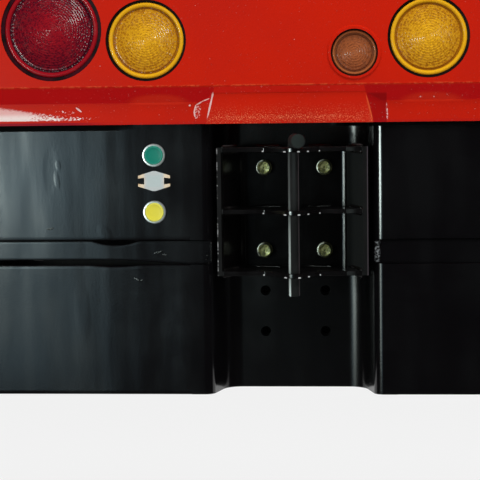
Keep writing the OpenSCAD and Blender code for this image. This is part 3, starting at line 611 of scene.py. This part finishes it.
def bezel_finish():
    f = Finish("bezel_metal")
    r = f.off_axis()
    turned = f.grain(1.0, 2.0, 0.5, f.node("CombineXYZ", None, {"X": r * 6000.0, "Y": f.y * 900.0}))
    stain = f.grain(180.0, 4.0, 0.6)
    f.start((0.74, 0.80, 0.79), (0.50, 0.55, 0.54), stain.between(0.45, 0.75))
    f.emboss(turned, 0.00002)
    return f.surface(0.26 + stain * 0.16, {"Metallic": 0.75})


def block_finish():
    f = Finish("block_plastic")
    dust = f.grain(90.0, 4.0, 0.6)
    grid = f.grain(1600.0)
    f.start((0.62, 0.61, 0.56), (0.42, 0.40, 0.35), dust.between(0.45, 0.8))
    f.emboss(grid, 0.00002)
    return f.surface(0.5 + dust * 0.15)


def sign_finish():
    f = Finish("sign_film")
    middle = (SIGN_LOW + SIGN_HIGH) / 2
    out = (f.x - middle.x).size()
    up = (f.z - middle.z).size()
    arm = out.between(0.0105, 0.0150)
    tip = out.between(0.0160, 0.0200)
    panel = out.between(0.0096, 0.0084) * up.between(0.0078, 0.0070)
    soil = f.grain(260.0, 5.0, 0.65)
    f.start((0.54, 0.59, 0.58), (0.48, 0.59, 0.58), panel * 0.75)
    f.cover((0.82, 0.68, 0.48), arm)
    f.cover((0.74, 0.47, 0.22), tip * soil.between(0.4, 0.6) * 0.8)
    f.cover((0.30, 0.27, 0.27), soil.between(0.62, 0.78) * 0.35)
    f.emboss(soil, 0.00003)
    return f.surface(0.42 + soil * 0.15)


# Mesh work

def add_piece(name, mesh, finish, body=TAIL, stands_for=(), at=(0, 0, 0)):
    """Puts a mesh into the scene as a piece that rides on a body."""
    piece = bpy.data.objects.new(name, mesh)
    bpy.context.scene.collection.objects.link(piece)
    piece.location = at
    mesh.materials.append(finish)
    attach(piece, body)
    if stands_for:
        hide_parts(*stands_for)
    return piece


def add_round_piece(name, heap, sharp, finish):
    """Puts a turned form where a node stands, its origin on the node's axis and back face."""
    low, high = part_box(name)
    middle = (low + high) / 2
    return add_piece(name, heap.mesh(name + "_mesh", sharp), finish, stands_for=[name],
                     at=(middle.x, high.y, middle.z))


def ring_faces(count, ring, base=0):
    """Quads between neighbouring rings of points."""
    return [(a + j, a + (j + 1) % ring, a + ring + (j + 1) % ring, a + ring + j)
            for a in range(base, base + (count - 1) * ring, ring) for j in range(ring)]


def round_ring(pairs):
    """Points round the Y axis, one for each (radius, reach). Reach counts towards the viewer."""
    step = math.tau / len(pairs)
    return [Vector((radius * math.cos(step * j), -reach, radius * math.sin(step * j)))
            for j, (radius, reach) in enumerate(pairs)]


class Heap:
    """Points and faces of several closed forms that make one mesh."""

    def __init__(self):
        self.points = []
        self.faces = []

    def add_rings(self, rings):
        base = len(self.points)
        size = len(rings[0])
        for ring in rings:
            self.points.extend(ring)
        self.faces += ring_faces(len(rings), size, base)
        self.faces.append(tuple(base + j for j in range(size)))
        self.faces.append(tuple(base + (len(rings) - 1) * size + j for j in range(size)))

    def add_turned(self, profile, segments):
        """Turns (radius, reach) pairs round the Y axis."""
        self.add_rings([round_ring([(max(radius, TINY), reach)] * segments) for radius, reach in profile])

    def mesh(self, name, sharp):
        """The mesh, closed up, its normals outwards, and smooth where it bends by less than sharp degrees."""
        mesh = bpy.data.meshes.new(name)
        mesh.from_pydata([tuple(p) for p in self.points], [], self.faces)
        work = bmesh.new()
        work.from_mesh(mesh)
        bmesh.ops.remove_doubles(work, verts=work.verts, dist=JOIN)
        bmesh.ops.dissolve_degenerate(work, edges=work.edges, dist=TINY)
        bmesh.ops.recalc_face_normals(work, faces=work.faces)
        for face in work.faces:
            face.smooth = True
        work.to_mesh(mesh)
        work.free()
        mesh.set_sharp_from_angle(angle=math.radians(sharp))
        return mesh


def ease_edges(names, finish, width=0.0, limit=24.0, segments=2):
    """Gives frame nodes their finish, and rounds their edges by a width, or keeps them sharp."""
    for name in names:
        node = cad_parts[name]
        node.data.materials.clear()
        node.data.materials.append(finish)
        for slot in node.material_slots:
            slot.material = finish
        weld = node.modifiers.new("join", "WELD")
        weld.merge_threshold = JOIN
        flat = node.modifiers.new("flat", "DECIMATE")
        flat.decimate_type = "DISSOLVE"
        flat.angle_limit = math.radians(0.5)
        if width:
            bevel = node.modifiers.new("ease", "BEVEL")
            bevel.width = width
            bevel.segments = segments
            bevel.limit_method = "ANGLE"
            bevel.angle_limit = math.radians(limit)
            bevel.miter_outer = "MITER_ARC"
        else:
            split = node.modifiers.new("split", "EDGE_SPLIT")
            split.split_angle = math.radians(40)
            split.use_edge_sharp = False
        even = node.modifiers.new("even", "WEIGHTED_NORMAL")
        even.keep_sharp = False
        even.weight = 100


def smoothstep(low, high, value):
    t = min(1.0, max(0.0, (value - low) / (high - low)))
    return t * t * (3 - 2 * t)


# Rolled plates of the chassis wall

def plate_wave(x, z, depth):
    """How far a plate wanders from flat at a place, towards the viewer. It is nothing near the recess."""
    free = smoothstep(SEAM_X, SEAM_X + 0.06, abs(x))
    tall = noise.noise(Vector((x * 13.0, z * 1.6, 3.7)))
    broad = noise.noise(Vector((x * 5.0, z * 2.6, 11.2)))
    small = noise.noise(Vector((x * 34.0, z * 9.0, 27.0)))
    return free * depth * (0.9 * tall + 1.3 * broad + 0.16 * small)


def plan_stations(side, start_x, inset):
    """Places along a wall plate's plan with their outward directions, from the recess to its far end."""
    y = WALL_Y + inset
    edge = UPPER_HIGH.x - inset
    bend_x = edge - BEND_RADIUS
    bend_y = y + BEND_RADIUS
    stations = []
    steps = 72
    for i in range(steps + 1):
        stations.append((start_x + (bend_x - start_x) * i / steps, y, 0.0, -1.0))
    for i in range(1, 13):
        a = math.radians(90 * i / 12)
        stations.append((bend_x + BEND_RADIUS * math.sin(a), bend_y - BEND_RADIUS * math.cos(a),
                         math.sin(a), -math.cos(a)))
    for i in range(1, 9):
        stations.append((edge, bend_y + (RETURN_END_Y - bend_y) * i / 8, 1.0, 0.0))
    return [(side * px, py, side * nx, ny) for px, py, nx, ny in stations]


def dent(x, depth):
    """Depth of a shallow bow at a place along an edge of the left plates."""
    off = abs(x + DENT_X) / DENT_HALF
    return depth * max(0.0, 1 - off * off)


def slot(x):
    """Height of the open slot under the left band."""
    x = abs(x)
    opening = (x - SEAM_X) / SLOT_TAPER
    closing = (SLOT_END_X - x) / SLOT_HEIGHT
    return SLOT_HEIGHT * min(1.0, max(0.0, opening), max(0.0, closing))


def rolled_plate(name, side, low, high, start_x, inset, rows, depth, finish):
    """One plate, from its lower edge to its upper edge, with rounded edges and its bent side return."""
    turns = [math.radians(30 * k) for k in range(4)]
    edge = [(EDGE_RADIUS * (1 - math.cos(a)), EDGE_RADIUS * (1 - math.sin(a))) for a in turns]
    rings = []
    for x, y, nx, ny in plan_stations(side, start_x, inset):
        bottom, top = low(x), high(x)
        if top - bottom < 4 * EDGE_RADIUS:
            bottom = top - 4 * EDGE_RADIUS
        spine = [(bottom + up, deep) for up, deep in edge]
        for k in range(1, rows):
            spine.append((bottom + EDGE_RADIUS + (top - bottom - 2 * EDGE_RADIUS) * k / rows, 0.0))
        spine += [(top - up, deep) for up, deep in reversed(edge)]
        ring = []
        for z, deep in spine:
            push = plate_wave(x, z, depth) if abs(ny) > 0.5 else plate_wave(x, z, depth) * 0.4
            ring.append(Vector((x + nx * (push - deep), y + ny * (push - deep), z)))
        for z in (top, bottom):
            ring.append(Vector((x - nx * PLATE, y - ny * PLATE, z)))
        rings.append(ring)
    heap = Heap()
    heap.add_rings(rings)
    return add_piece(name, heap.mesh(name + "_mesh", 32.0), finish, stands_for=[name])


class TUG_OT_walls(Operator):
    """Rolls the wall plates and the bands, with their waves, dents and the slot"""
    bl_idname = "tug.roll_walls"
    bl_label = "Wall plates and bands"

    def execute(self, context):
        paint = context.scene.tug_paint
        finish = wall_finish(paint)
        context.scene["tug_wall_finish"] = finish.name
        for word, side in (("left", LEFT), ("right", RIGHT)):
            is_left = side == LEFT
            rolled_plate("wall_upper_" + word, side, lambda x: BAND_TOP, lambda x: UPPER_HIGH.z,
                         SEAM_X, 0.0, 40, paint.wave, finish)
            rolled_plate("wall_lower_" + word, side, lambda x: LOWER_LOW.z,
                         lambda x: BAND_BOTTOM - (dent(x, DENT_LOWER) if is_left else 0.0),
                         SEAM_X, 0.0, 40, paint.wave, finish)
            rolled_plate("band_" + word, side,
                         lambda x: BAND_BOTTOM + (slot(x) if is_left else 0.0),
                         lambda x: BAND_TOP - (dent(x, DENT_BAND) if is_left else 0.0),
                         RECESS_EDGE_X, BAND_INSET, 8, paint.wave, finish)
        return {"FINISHED"}


class TUG_OT_recess(Operator):
    """Gives the recess channel its paint"""
    bl_idname = "tug.finish_recess"
    bl_label = "Recess channel"

    def execute(self, context):
        ease_edges(["recess_channel"], bpy.data.materials[context.scene["tug_wall_finish"]])
        return {"FINISHED"}


class TUG_OT_frame(Operator):
    """Gives the frame behind the wall its paint"""
    bl_idname = "tug.finish_frame"
    bl_label = "Inner frame"

    def execute(self, context):
        names = [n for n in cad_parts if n.startswith((
            "doubler", "stiffener", "rail", "end_plate", "cross_tube", "bulkhead", "hood_bracket"))]
        ease_edges(names, frame_finish(), 0.0008)
        return {"FINISHED"}


class TUG_OT_hood(Operator):
    """Gives the hood its paint and eases its creases"""
    bl_idname = "tug.finish_hood"
    bl_label = "Hood"

    def execute(self, context):
        ease_edges(["hood"], hood_finish(context.scene.tug_paint), 0.0016, 22.0, 3)
        return {"FINISHED"}


class TUG_OT_lamps(Operator):
    """Moulds the lenses with their prism rings, and finishes the lamp housings"""
    bl_idname = "tug.mould_lamps"
    bl_label = "Rear lamps"

    def execute(self, context):
        lamps = context.scene.tug_lamps
        # Each kind: lens name, lens colour, deep colour that also paints shade in the groove, colour of the
        # ring's painted highlight, housing colour, ring width, dome height and roughness
        kinds = {
            "red_lamp": ("lens_red", lamps.red, (0.055, 0.002, 0.010), (0.34, 0.006, 0.012),
                         (0.050, 0.002, 0.008), 0.0060, 0.0070, 0.20),
            "amber_lamp": ("lens_amber", lamps.amber, (0.36, 0.125, 0.004), (0.84, 0.44, 0.010),
                           (0.016, 0.006, 0.003), 0.0055, 0.0060, 0.20),
            "reflector": ("lens_dull", lamps.dull, (0.20, 0.055, 0.018), (0.40, 0.12, 0.035),
                          (0.018, 0.008, 0.004), 0.0030, 0.0030, 0.30),
        }
        for kind, (slot_name, colour, deep, bright, cup, ring, dome, rough) in kinds.items():
            names = [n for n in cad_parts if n.startswith(kind)]
            ease_edges([n for n in names if n.endswith("_cup")], cup_finish(kind + "_housing", cup))
            lenses = [n for n in names if not n.endswith("_cup")]
            low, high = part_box(lenses[0])
            radius = (high.x - low.x) / 2
            finish = lens_finish(kind + "_lens", colour, deep, bright, radius, ring, rough)
            for name in lenses:
                heap = Heap()
                heap.add_turned(lens_profile(radius, ring, dome, high.y - low.y, lamps), 128)
                add_round_piece(name, heap, 30.0, finish)
        return {"FINISHED"}


def lens_profile(radius, ring, dome, depth, lamps):
    """Section of a lens from its back to its middle: edge, round ring, groove, and a dome of prism rings."""
    foot = depth - 0.0025
    points = [(0.0, 0.0), (radius, 0.0), (radius, foot - 0.0010)]
    half = ring / 2
    for k in range(9):
        a = math.radians(180 * k / 8)
        points.append((radius - half + half * math.cos(a), foot + 0.55 * ring * math.sin(a)))
    inner = radius - ring
    points += [(inner - 0.0006, foot - 0.0012), (inner - 0.0024, foot - 0.0012), (inner - 0.0030, foot)]
    field = inner - 0.0030
    count = max(3, int(field / lamps.ring_pitch))

    def rise(r):
        return foot + dome * (1 - (r / field) ** 2)

    for k in range(1, count):
        crest = field * (1 - (k - 0.5) / count)
        valley = field * (1 - k / count) + 0.0003
        points += [(crest, rise(crest)), (valley, rise(valley) - lamps.ring_depth)]
    crest = field * 0.5 / count
    return points + [(crest, rise(crest)), (0.0, rise(0.0))]


class TUG_OT_coupling(Operator):
    """Gives the tow coupling its gloss paint and eases its plate edges"""
    bl_idname = "tug.finish_coupling"
    bl_label = "Tow coupling"

    def execute(self, context):
        finish = coupling_finish(context.scene.tug_paint)
        width = context.scene.tug_coupling.edge
        ease_edges(["coupling_channel", *TOW_PLATES], finish, width, 30.0, 3)
        return {"FINISHED"}


def bead(heap, start, end, radius, ripple, chance, lumps=0.10):
    """One weld bead between two points: a rippled closed rope, its ends drawn in."""
    start, end = Vector(start), Vector(end)
    along = (end - start).normalized()
    length = (end - start).length
    side = along.orthogonal().normalized()
    up = along.cross(side)
    steps = max(6, int(length / (ripple / 5)))
    phase = chance.uniform(0, math.tau)
    drift = chance.uniform(0, 50)
    turns = [math.tau * j / 12 for j in range(12)]
    rings = []
    for i in range(steps + 1):
        s = length * i / steps
        ends = min(1.0, s / (1.4 * radius) + 0.02, (length - s) / (1.4 * radius) + 0.02)
        swell = math.sqrt(max(0.0, 1 - (1 - ends) ** 2))
        wave = 1 + lumps * math.sin(phase + math.tau * s / ripple)
        r = radius * swell * (wave + 0.16 * noise.noise(Vector((s * 160, drift, 0))))
        wander = 0.14 * radius * noise.noise(Vector((drift, s * 110, 5)))
        middle = start + along * s + side * wander
        rings.append([middle + side * (r * math.cos(a)) + up * (r * math.sin(a)) for a in turns])
    heap.add_rings(rings)


def weld_coupling(values, chance, finish):
    """Beads of the tow plates in the coupling, along its leaning sides and across its back."""
    heap = Heap()
    front_x, back_x = COUPLING_HIGH.x, COUPLING_BACK
    front_y, back_y = COUPLING_LOW.y, FLOOR_Y
    inward = PLATE / math.cos(math.atan2(front_x - back_x, back_y - front_y))

    def flank(side, y, z):
        share = (back_y - y) / (back_y - front_y)
        return side * (back_x + (front_x - back_x) * share - inward), y, z

    for plate in TOW_PLATES:
        low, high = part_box(plate)
        for z in (low.z, high.z):
            for side in (LEFT, RIGHT):
                start = flank(side, front_y + chance.uniform(0.002, 0.007), z)
                bead(heap, start, flank(side, back_y - 0.022, z), values.bead, values.ripple, chance)
            for x0, x1 in ((-0.052, -0.018), (0.018, 0.050)):
                bead(heap, (x0, back_y - 0.006, z), (x1, back_y - 0.006, z),
                     values.bead * 0.85, values.ripple, chance)
    add_piece("coupling_welds", heap.mesh("coupling_welds_mesh", 60.0), finish)


def weld_bands(chance, finish):
    """Beads of the bands at the recess: three runs, spatter and a few lumps."""
    heap = Heap()
    for k in range(3):
        x = RECESS_EDGE_X + 0.0005 + 0.0021 * k
        bead(heap, (x, WALL_Y + 0.0022, BAND_BOTTOM + 0.0015),
             (x + 0.0004, WALL_Y + 0.0022, BAND_TOP - 0.001), 0.0016, 0.0031, chance, 0.30)
    for k in range(26):
        x = RECESS_EDGE_X + chance.uniform(-0.0015, 0.0065)
        z = chance.uniform(BAND_BOTTOM + 0.002, BAND_TOP - 0.002)
        size = chance.uniform(0.0006, 0.0013)
        lump = Vector((x, WALL_Y + 0.0012, z))
        way = Vector((chance.uniform(-1, 1), 0, chance.uniform(-1, 1))).normalized()
        bead(heap, lump, lump + way * size * 2.4, size, 0.002, chance)
    for x, z in ((-0.1118, -0.0520), (-0.1115, -0.0575), (-0.1098, -0.0675), (-0.1125, -0.0620)):
        y = WALL_Y + 0.0008
        bead(heap, (x, y, z - 0.0012), (x, y, z + 0.0012), 0.0012, 0.002, chance)
    bead(heap, (-RECESS_EDGE_X, WALL_Y + 0.0024, BAND_BOTTOM + 0.004),
         (-RECESS_EDGE_X, WALL_Y + 0.0024, BAND_TOP - 0.002), 0.0014, 0.0026, chance, 0.2)
    add_piece("band_welds", heap.mesh("band_welds_mesh", 60.0), finish)


def weld_frame(chance, finish):
    """Beads of the frame's end plates, stiffeners and cross tubes."""
    heap = Heap()
    for word, side in (("left", LEFT), ("right", RIGHT)):
        low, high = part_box("end_plate_" + word)
        x = (high.x if side == RIGHT else low.x) - side * 0.008
        for z in (-0.17, -0.10, 0.02, 0.09):
            bead(heap, (x, low.y, z), (x, low.y, z + 0.045), 0.0035, 0.003, chance)
    for word in ("left", "right"):
        low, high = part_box("stiffener_" + word)
        x = high.x if word == "left" else low.x
        for z in (-0.18, -0.12, 0.10):
            bead(heap, (x, low.y, z), (x, low.y, z + 0.03), 0.003, 0.003, chance)
    for word in ("top", "bottom"):
        low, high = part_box("cross_tube_" + word)
        z = low.z if word == "top" else high.z
        for x in (-0.30, -0.22, 0.20, 0.28):
            bead(heap, (x, high.y, z), (x + 0.04, high.y, z), 0.003, 0.003, chance)
    add_piece("frame_welds", heap.mesh("frame_welds_mesh", 60.0), finish)


class TUG_OT_welds(Operator):
    """Lays the weld beads of the coupling, of the bands' ends and of the frame"""
    bl_idname = "tug.lay_welds"
    bl_label = "Weld beads"

    def execute(self, context):
        values = context.scene.tug_coupling
        chance = random.Random(47)
        finish = weld_finish()
        weld_coupling(values, chance, finish)
        weld_bands(chance, finish)
        weld_frame(chance, finish)
        return {"FINISHED"}


def hex_bolt(turn, low, high):
    """A bolt with its washer: chamfered hexagon head, pressed washer and threaded end."""
    segments = 96
    seat = high.y - low.y - BOLT_HEAD
    corners = []
    for j in range(segments):
        a = (math.tau * j / segments - turn) % math.radians(60) - math.radians(30)
        corners.append(BOLT_FLAT / math.cos(a))
    rim = BOLT_FLAT * 0.985
    slope = math.tan(math.radians(30))
    rings = [
        [(r, seat) for r in corners],
        [(r, seat + BOLT_HEAD * 0.5) for r in corners],
        [(r, seat + BOLT_HEAD - (r - rim) * slope) for r in corners],
    ]
    for share, dip in ((0.995, 0.00005), (0.86, 0.0), (0.82, 0.0002), (0.3, 0.00035), (0.0, 0.0004)):
        rings.append([(max(rim * share, TINY), seat + BOLT_HEAD - dip)] * segments)
    heap = Heap()
    heap.add_rings([round_ring(ring) for ring in rings])
    outer = (high.x - low.x) / 2
    base = seat - WASHER
    heap.add_turned([
        (BOLT_HOLE, base), (outer - 0.0005, base), (outer, base + 0.0005), (outer, base + 0.0017),
        (outer - 0.0006, seat - 0.0002), (outer - 0.0015, seat), (BOLT_HOLE, seat)], 64)
    pitch = 0.00175
    thread = [(0.0, 0.0), (0.0045, 0.0)]
    for k in range(5):
        reach = 0.0008 + pitch * k
        thread += [(THREAD, reach), (THREAD, reach + 0.0004), (THREAD - 0.0007, reach + 0.0012)]
    thread += [(THREAD, 0.0095), (THREAD, seat), (0.0, seat)]
    heap.add_turned(thread, 40)
    return heap


class TUG_OT_bolts(Operator):
    """Turns the four coupling bolts with their washers"""
    bl_idname = "tug.turn_bolts"
    bl_label = "Coupling bolts"

    def execute(self, context):
        finish = zinc_finish()
        for index, turn in enumerate((0.35, 0.12, 0.78, 0.55), 1):
            name = "coupling_bolt_%d" % index
            add_round_piece(name, hex_bolt(turn, *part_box(name)), 28.0, finish)
        return {"FINISHED"}


class TUG_OT_pin(Operator):
    """Gives the draw pin its worn paint"""
    bl_idname = "tug.finish_pin"
    bl_label = "Draw pin"

    def execute(self, context):
        ease_edges(["draw_pin"], pin_finish(), 0.0004, 30.0, 2)
        return {"FINISHED"}


class TUG_OT_buttons(Operator):
    """Moulds the button caps and their bezels, and finishes the contact blocks"""
    bl_idname = "tug.mould_buttons"
    bl_label = "Inching buttons"

    def execute(self, context):
        values = context.scene.tug_buttons
        metal = bezel_finish()
        plastic = block_finish()
        for word, colour, lighter in (("green", values.green, (0.030, 0.30, 0.21)),
                                      ("yellow", values.yellow, (0.86, 0.82, 0.12))):
            name = "button_" + word
            low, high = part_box(name)
            radius = (high.x - low.x) / 2
            reach = high.y - low.y
            rounding = 0.0010
            profile = [(0.0, 0.0), (radius, 0.0), (radius, reach - rounding)]
            for k in range(1, 6):
                a = math.radians(90 * k / 5)
                profile.append((radius - rounding * (1 - math.cos(a)), reach - rounding * (1 - math.sin(a))))
            profile += [(radius - 0.0018, reach), (radius - 0.0026, reach - 0.0004),
                        (radius * 0.5, reach - 0.0007), (0.0, reach - 0.0008)]
            heap = Heap()
            heap.add_turned(profile, 72)
            add_round_piece(name, heap, 30.0, cap_finish(name + "_cap", colour, lighter))
            add_bezel(name + "_bezel", metal)
            ease_edges([name + "_block"], plastic, 0.0010)
        return {"FINISHED"}


def add_bezel(name, metal):
    """A button's bezel with its rounded edge, threaded barrel and ring nut, open through its middle."""
    low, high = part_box(name)
    outer = (high.x - low.x) / 2
    face = high.y - low.y
    wall = face - 0.0035
    back = wall - PLATE
    seat = wall + 0.0015
    cap = outer - 0.0027
    barrel, bore = 0.011, 0.008
    rounding = 0.0012
    points = [(cap, seat), (cap, face - 0.0004), (cap + 0.0004, face)]
    for k in range(1, 6):
        a = math.radians(90 * k / 5)
        points.append((outer - rounding * (1 - math.sin(a)), face - rounding * (1 - math.cos(a))))
    points += [(outer, wall + 0.0002), (outer - 0.0004, wall), (barrel, wall), (barrel, back)]
    nut = outer - 0.0008
    points += [(nut - 0.0004, back), (nut, back - 0.0006), (nut, back - 0.0044),
               (nut - 0.0004, back - 0.0050), (barrel, back - 0.0050)]
    for k in range(2):
        reach = back - 0.0055 - 0.0013 * k
        points += [(barrel, reach), (barrel - 0.0006, reach - 0.0006)]
    points += [(barrel, 0.0003), (barrel - 0.0003, 0.0), (bore, 0.0), (bore, seat)]
    segments = 96
    heap = Heap()
    for pair in points:
        heap.points += round_ring([pair] * segments)
    heap.faces = ring_faces(len(points), segments)
    last = (len(points) - 1) * segments
    heap.faces += [(last + j, last + (j + 1) % segments, (j + 1) % segments, j) for j in range(segments)]
    add_round_piece(name, heap, 30.0, metal)


class TUG_OT_sign(Operator):
    """Gives the blank direction sign its printed film"""
    bl_idname = "tug.finish_sign"
    bl_label = "Direction sign"

    def execute(self, context):
        ease_edges(["direction_sign"], sign_finish(), 0.0002, 30.0, 2)
        return {"FINISHED"}


# Studio

def add_lamp(name, at, aim, width, height, watts, colour=(1, 1, 1)):
    """A lit rectangle that the camera doesn't see."""
    light = bpy.data.lights.new(name, "AREA")
    light.shape = "RECTANGLE"
    light.size = width
    light.size_y = height
    light.energy = watts
    light.color = colour
    lamp = bpy.data.objects.new(name, light)
    bpy.context.scene.collection.objects.link(lamp)
    lamp.location = at
    lamp.rotation_mode = "QUATERNION"
    lamp.rotation_quaternion = (Vector(aim) - Vector(at)).to_track_quat("-Z", "Y")
    lamp.visible_camera = False
    return lamp


def add_sheet(name, corners, finish):
    """A flat sheet for the studio."""
    mesh = bpy.data.meshes.new(name)
    mesh.from_pydata(corners, [], [tuple(range(len(corners)))])
    mesh.materials.append(finish)
    sheet = bpy.data.objects.new(name, mesh)
    bpy.context.scene.collection.objects.link(sheet)
    return sheet


def floor_finish():
    f = Finish("studio_floor")
    cloud = f.grain(3.0, 3.0)
    paper = f.node("BsdfDiffuse", None, {"Color": f.mix((0.90, 0.90, 0.90), (0.93, 0.93, 0.93), cloud)})
    glow = f.node("Emission", None, {"Color": (1, 1, 1), "Strength": 1.0})
    both = f.node("MixShader", None, {0: f.seen() * 0.72, 1: paper, 2: glow})
    f.node("OutputMaterial", None, {"Surface": both})
    return f.material


def add_cards(z):
    """Sets dark cards that only reflections see, as a photographer's black cloth round the camera."""
    black = Finish("studio_cloth")
    black.start((0.002, 0.002, 0.002), (0.004, 0.004, 0.004), black.grain(900.0))
    cloth = black.surface(0.95, {"Specular IOR Level": 0.0})
    side, front, back, top = 4.0, -5.0, 1.5, 4.0
    for name, corners in {
            "card_front": [(-side, front, z), (side, front, z), (side, front, top), (-side, front, top)],
            "card_floor": [(-side, front, z), (side, front, z), (side, 0.0, z), (-side, 0.0, z)],
            "card_left": [(-side, front, z), (-side, back, z), (-side, back, top), (-side, front, top)],
            "card_right": [(side, front, z), (side, back, z), (side, back, top), (side, front, top)],
            "card_top": [(-side, front, top), (side, front, top), (side, back, top), (-side, back, top)],
    }.items():
        card = add_sheet(name, corners, cloth)
        for way in ("camera", "diffuse", "transmission", "volume_scatter", "shadow"):
            setattr(card, "visible_" + way, False)


def add_window(brightness):
    """Sets the panes of a low window at the left, which fades to its right and to the floor."""
    y = -1.95
    bright, faint = (0.86, 1.0, 0.95), (0.54, 0.84, 1.0)
    for name, low, high, share, tint in (
            ("window_core", (-1.75, -0.14), (-0.92, 0.14), 1.0, bright),
            ("window_foot", (-1.75, -0.55), (-0.92, -0.14), 0.10, bright),
            ("window_side", (-0.92, -0.14), (-0.75, 0.14), 0.090, faint),
            ("window_rim", (-0.75, -0.14), (-0.58, 0.14), 0.052, faint),
            ("window_side_foot", (-0.92, -0.55), (-0.58, -0.14), 0.032, faint)):
        width, height = high[0] - low[0], high[1] - low[1]
        x, z = (low[0] + high[0]) / 2, (low[1] + high[1]) / 2
        watts = brightness * share * width * height * math.pi
        pane = add_lamp(name, (x, y, z), (x, 0, z), width, height, watts, tint)
        pane.visible_diffuse = False


def add_camera(studio):
    """Stands the camera where the photograph was taken."""
    data = bpy.data.cameras.new("photo_camera")
    data.sensor_width = 36.0
    data.lens = studio.camera_lens
    camera = bpy.data.objects.new("photo_camera", data)
    bpy.context.scene.collection.objects.link(camera)
    camera.location = (studio.camera_x, -studio.camera_distance, studio.camera_height)
    camera.rotation_mode = "QUATERNION"
    upright = Quaternion((1, 0, 0), math.radians(90) - studio.camera_tilt)
    turned = Quaternion((0, 0, 1), studio.camera_turn)
    leaned = Quaternion((0, 0, 1), -studio.camera_roll)
    camera.rotation_quaternion = turned @ upright @ leaned
    data.clip_start = 0.05
    data.clip_end = 60.0
    return camera


class TUG_OT_stage(Operator):
    """Sets the pale floor, the soft lights, the dark cards and the camera"""
    bl_idname = "tug.set_stage"
    bl_label = "Studio"

    def execute(self, context):
        scene = context.scene
        studio = scene.tug_studio
        half = 14.0
        z = -studio.floor_drop
        corners = [(-half, -half, z), (half, -half, z), (half, half, z), (-half, half, z)]
        floor = add_sheet("studio_floor", corners, floor_finish())
        add_cards(z + 0.004)
        add_window(studio.window)
        soft = add_lamp("top_front", (0.25, -1.15, 1.75), (0.0, -0.13, 0.1), 1.6, 0.8, 27.0)
        soft.visible_glossy = False

        world = bpy.data.worlds.new("studio_air")
        scene.world = world
        world.cycles.sampling_method = "NONE"
        air = Nodes(world)
        level = air.node("MapRange", None, {"Value": air.seen(), "To Min": studio.room, "To Max": 1.0})
        sky = air.node("Background", None, {"Color": (1, 1, 1), "Strength": level})
        air.node("OutputWorld", None, {"Surface": sky})

        scene.camera = add_camera(studio)
        scene.view_settings.view_transform = "Standard"
        return {"FINISHED"}


class TUG_PT_panel(Panel):
    """Lists the pieces of the tug's rear end"""
    bl_label = "Tug rear end"
    bl_idname = "TUG_PT_panel"
    bl_space_type = "VIEW_3D"
    bl_region_type = "UI"
    bl_category = "Tug"

    def draw(self, context):
        for operator in OPERATORS:
            self.layout.operator(operator.bl_idname)
        for group in GROUPS:
            values = getattr(context.scene, group)
            box = self.layout.box()
            for key in values.bl_rna.properties.keys():
                if key not in ("rna_type", "name"):
                    box.prop(values, key)


GROUPS = {
    "tug_paint": TugPaint,
    "tug_lamps": TugLamps,
    "tug_coupling": TugCoupling,
    "tug_buttons": TugButtons,
    "tug_studio": TugStudio,
}
OPERATORS = (
    TUG_OT_walls, TUG_OT_recess, TUG_OT_frame, TUG_OT_hood, TUG_OT_lamps, TUG_OT_coupling, TUG_OT_welds,
    TUG_OT_bolts, TUG_OT_pin, TUG_OT_buttons, TUG_OT_sign, TUG_OT_stage,
)


def register():
    for item in (*GROUPS.values(), *OPERATORS, TUG_PT_panel):
        bpy.utils.register_class(item)
    for name, group in GROUPS.items():
        setattr(bpy.types.Scene, name, PointerProperty(type=group))


def unregister():
    for name in GROUPS:
        delattr(bpy.types.Scene, name)
    for item in (TUG_PT_panel, *reversed(OPERATORS), *GROUPS.values()):
        bpy.utils.unregister_class(item)


def main():
    register()
    bpy.ops.tug.roll_walls()
    bpy.ops.tug.finish_recess()
    bpy.ops.tug.finish_frame()
    bpy.ops.tug.finish_hood()
    bpy.ops.tug.mould_lamps()
    bpy.ops.tug.finish_coupling()
    bpy.ops.tug.lay_welds()
    bpy.ops.tug.turn_bolts()
    bpy.ops.tug.finish_pin()
    bpy.ops.tug.mould_buttons()
    bpy.ops.tug.finish_sign()
    bpy.ops.tug.set_stage()


if __name__ == "__main__":
    main()
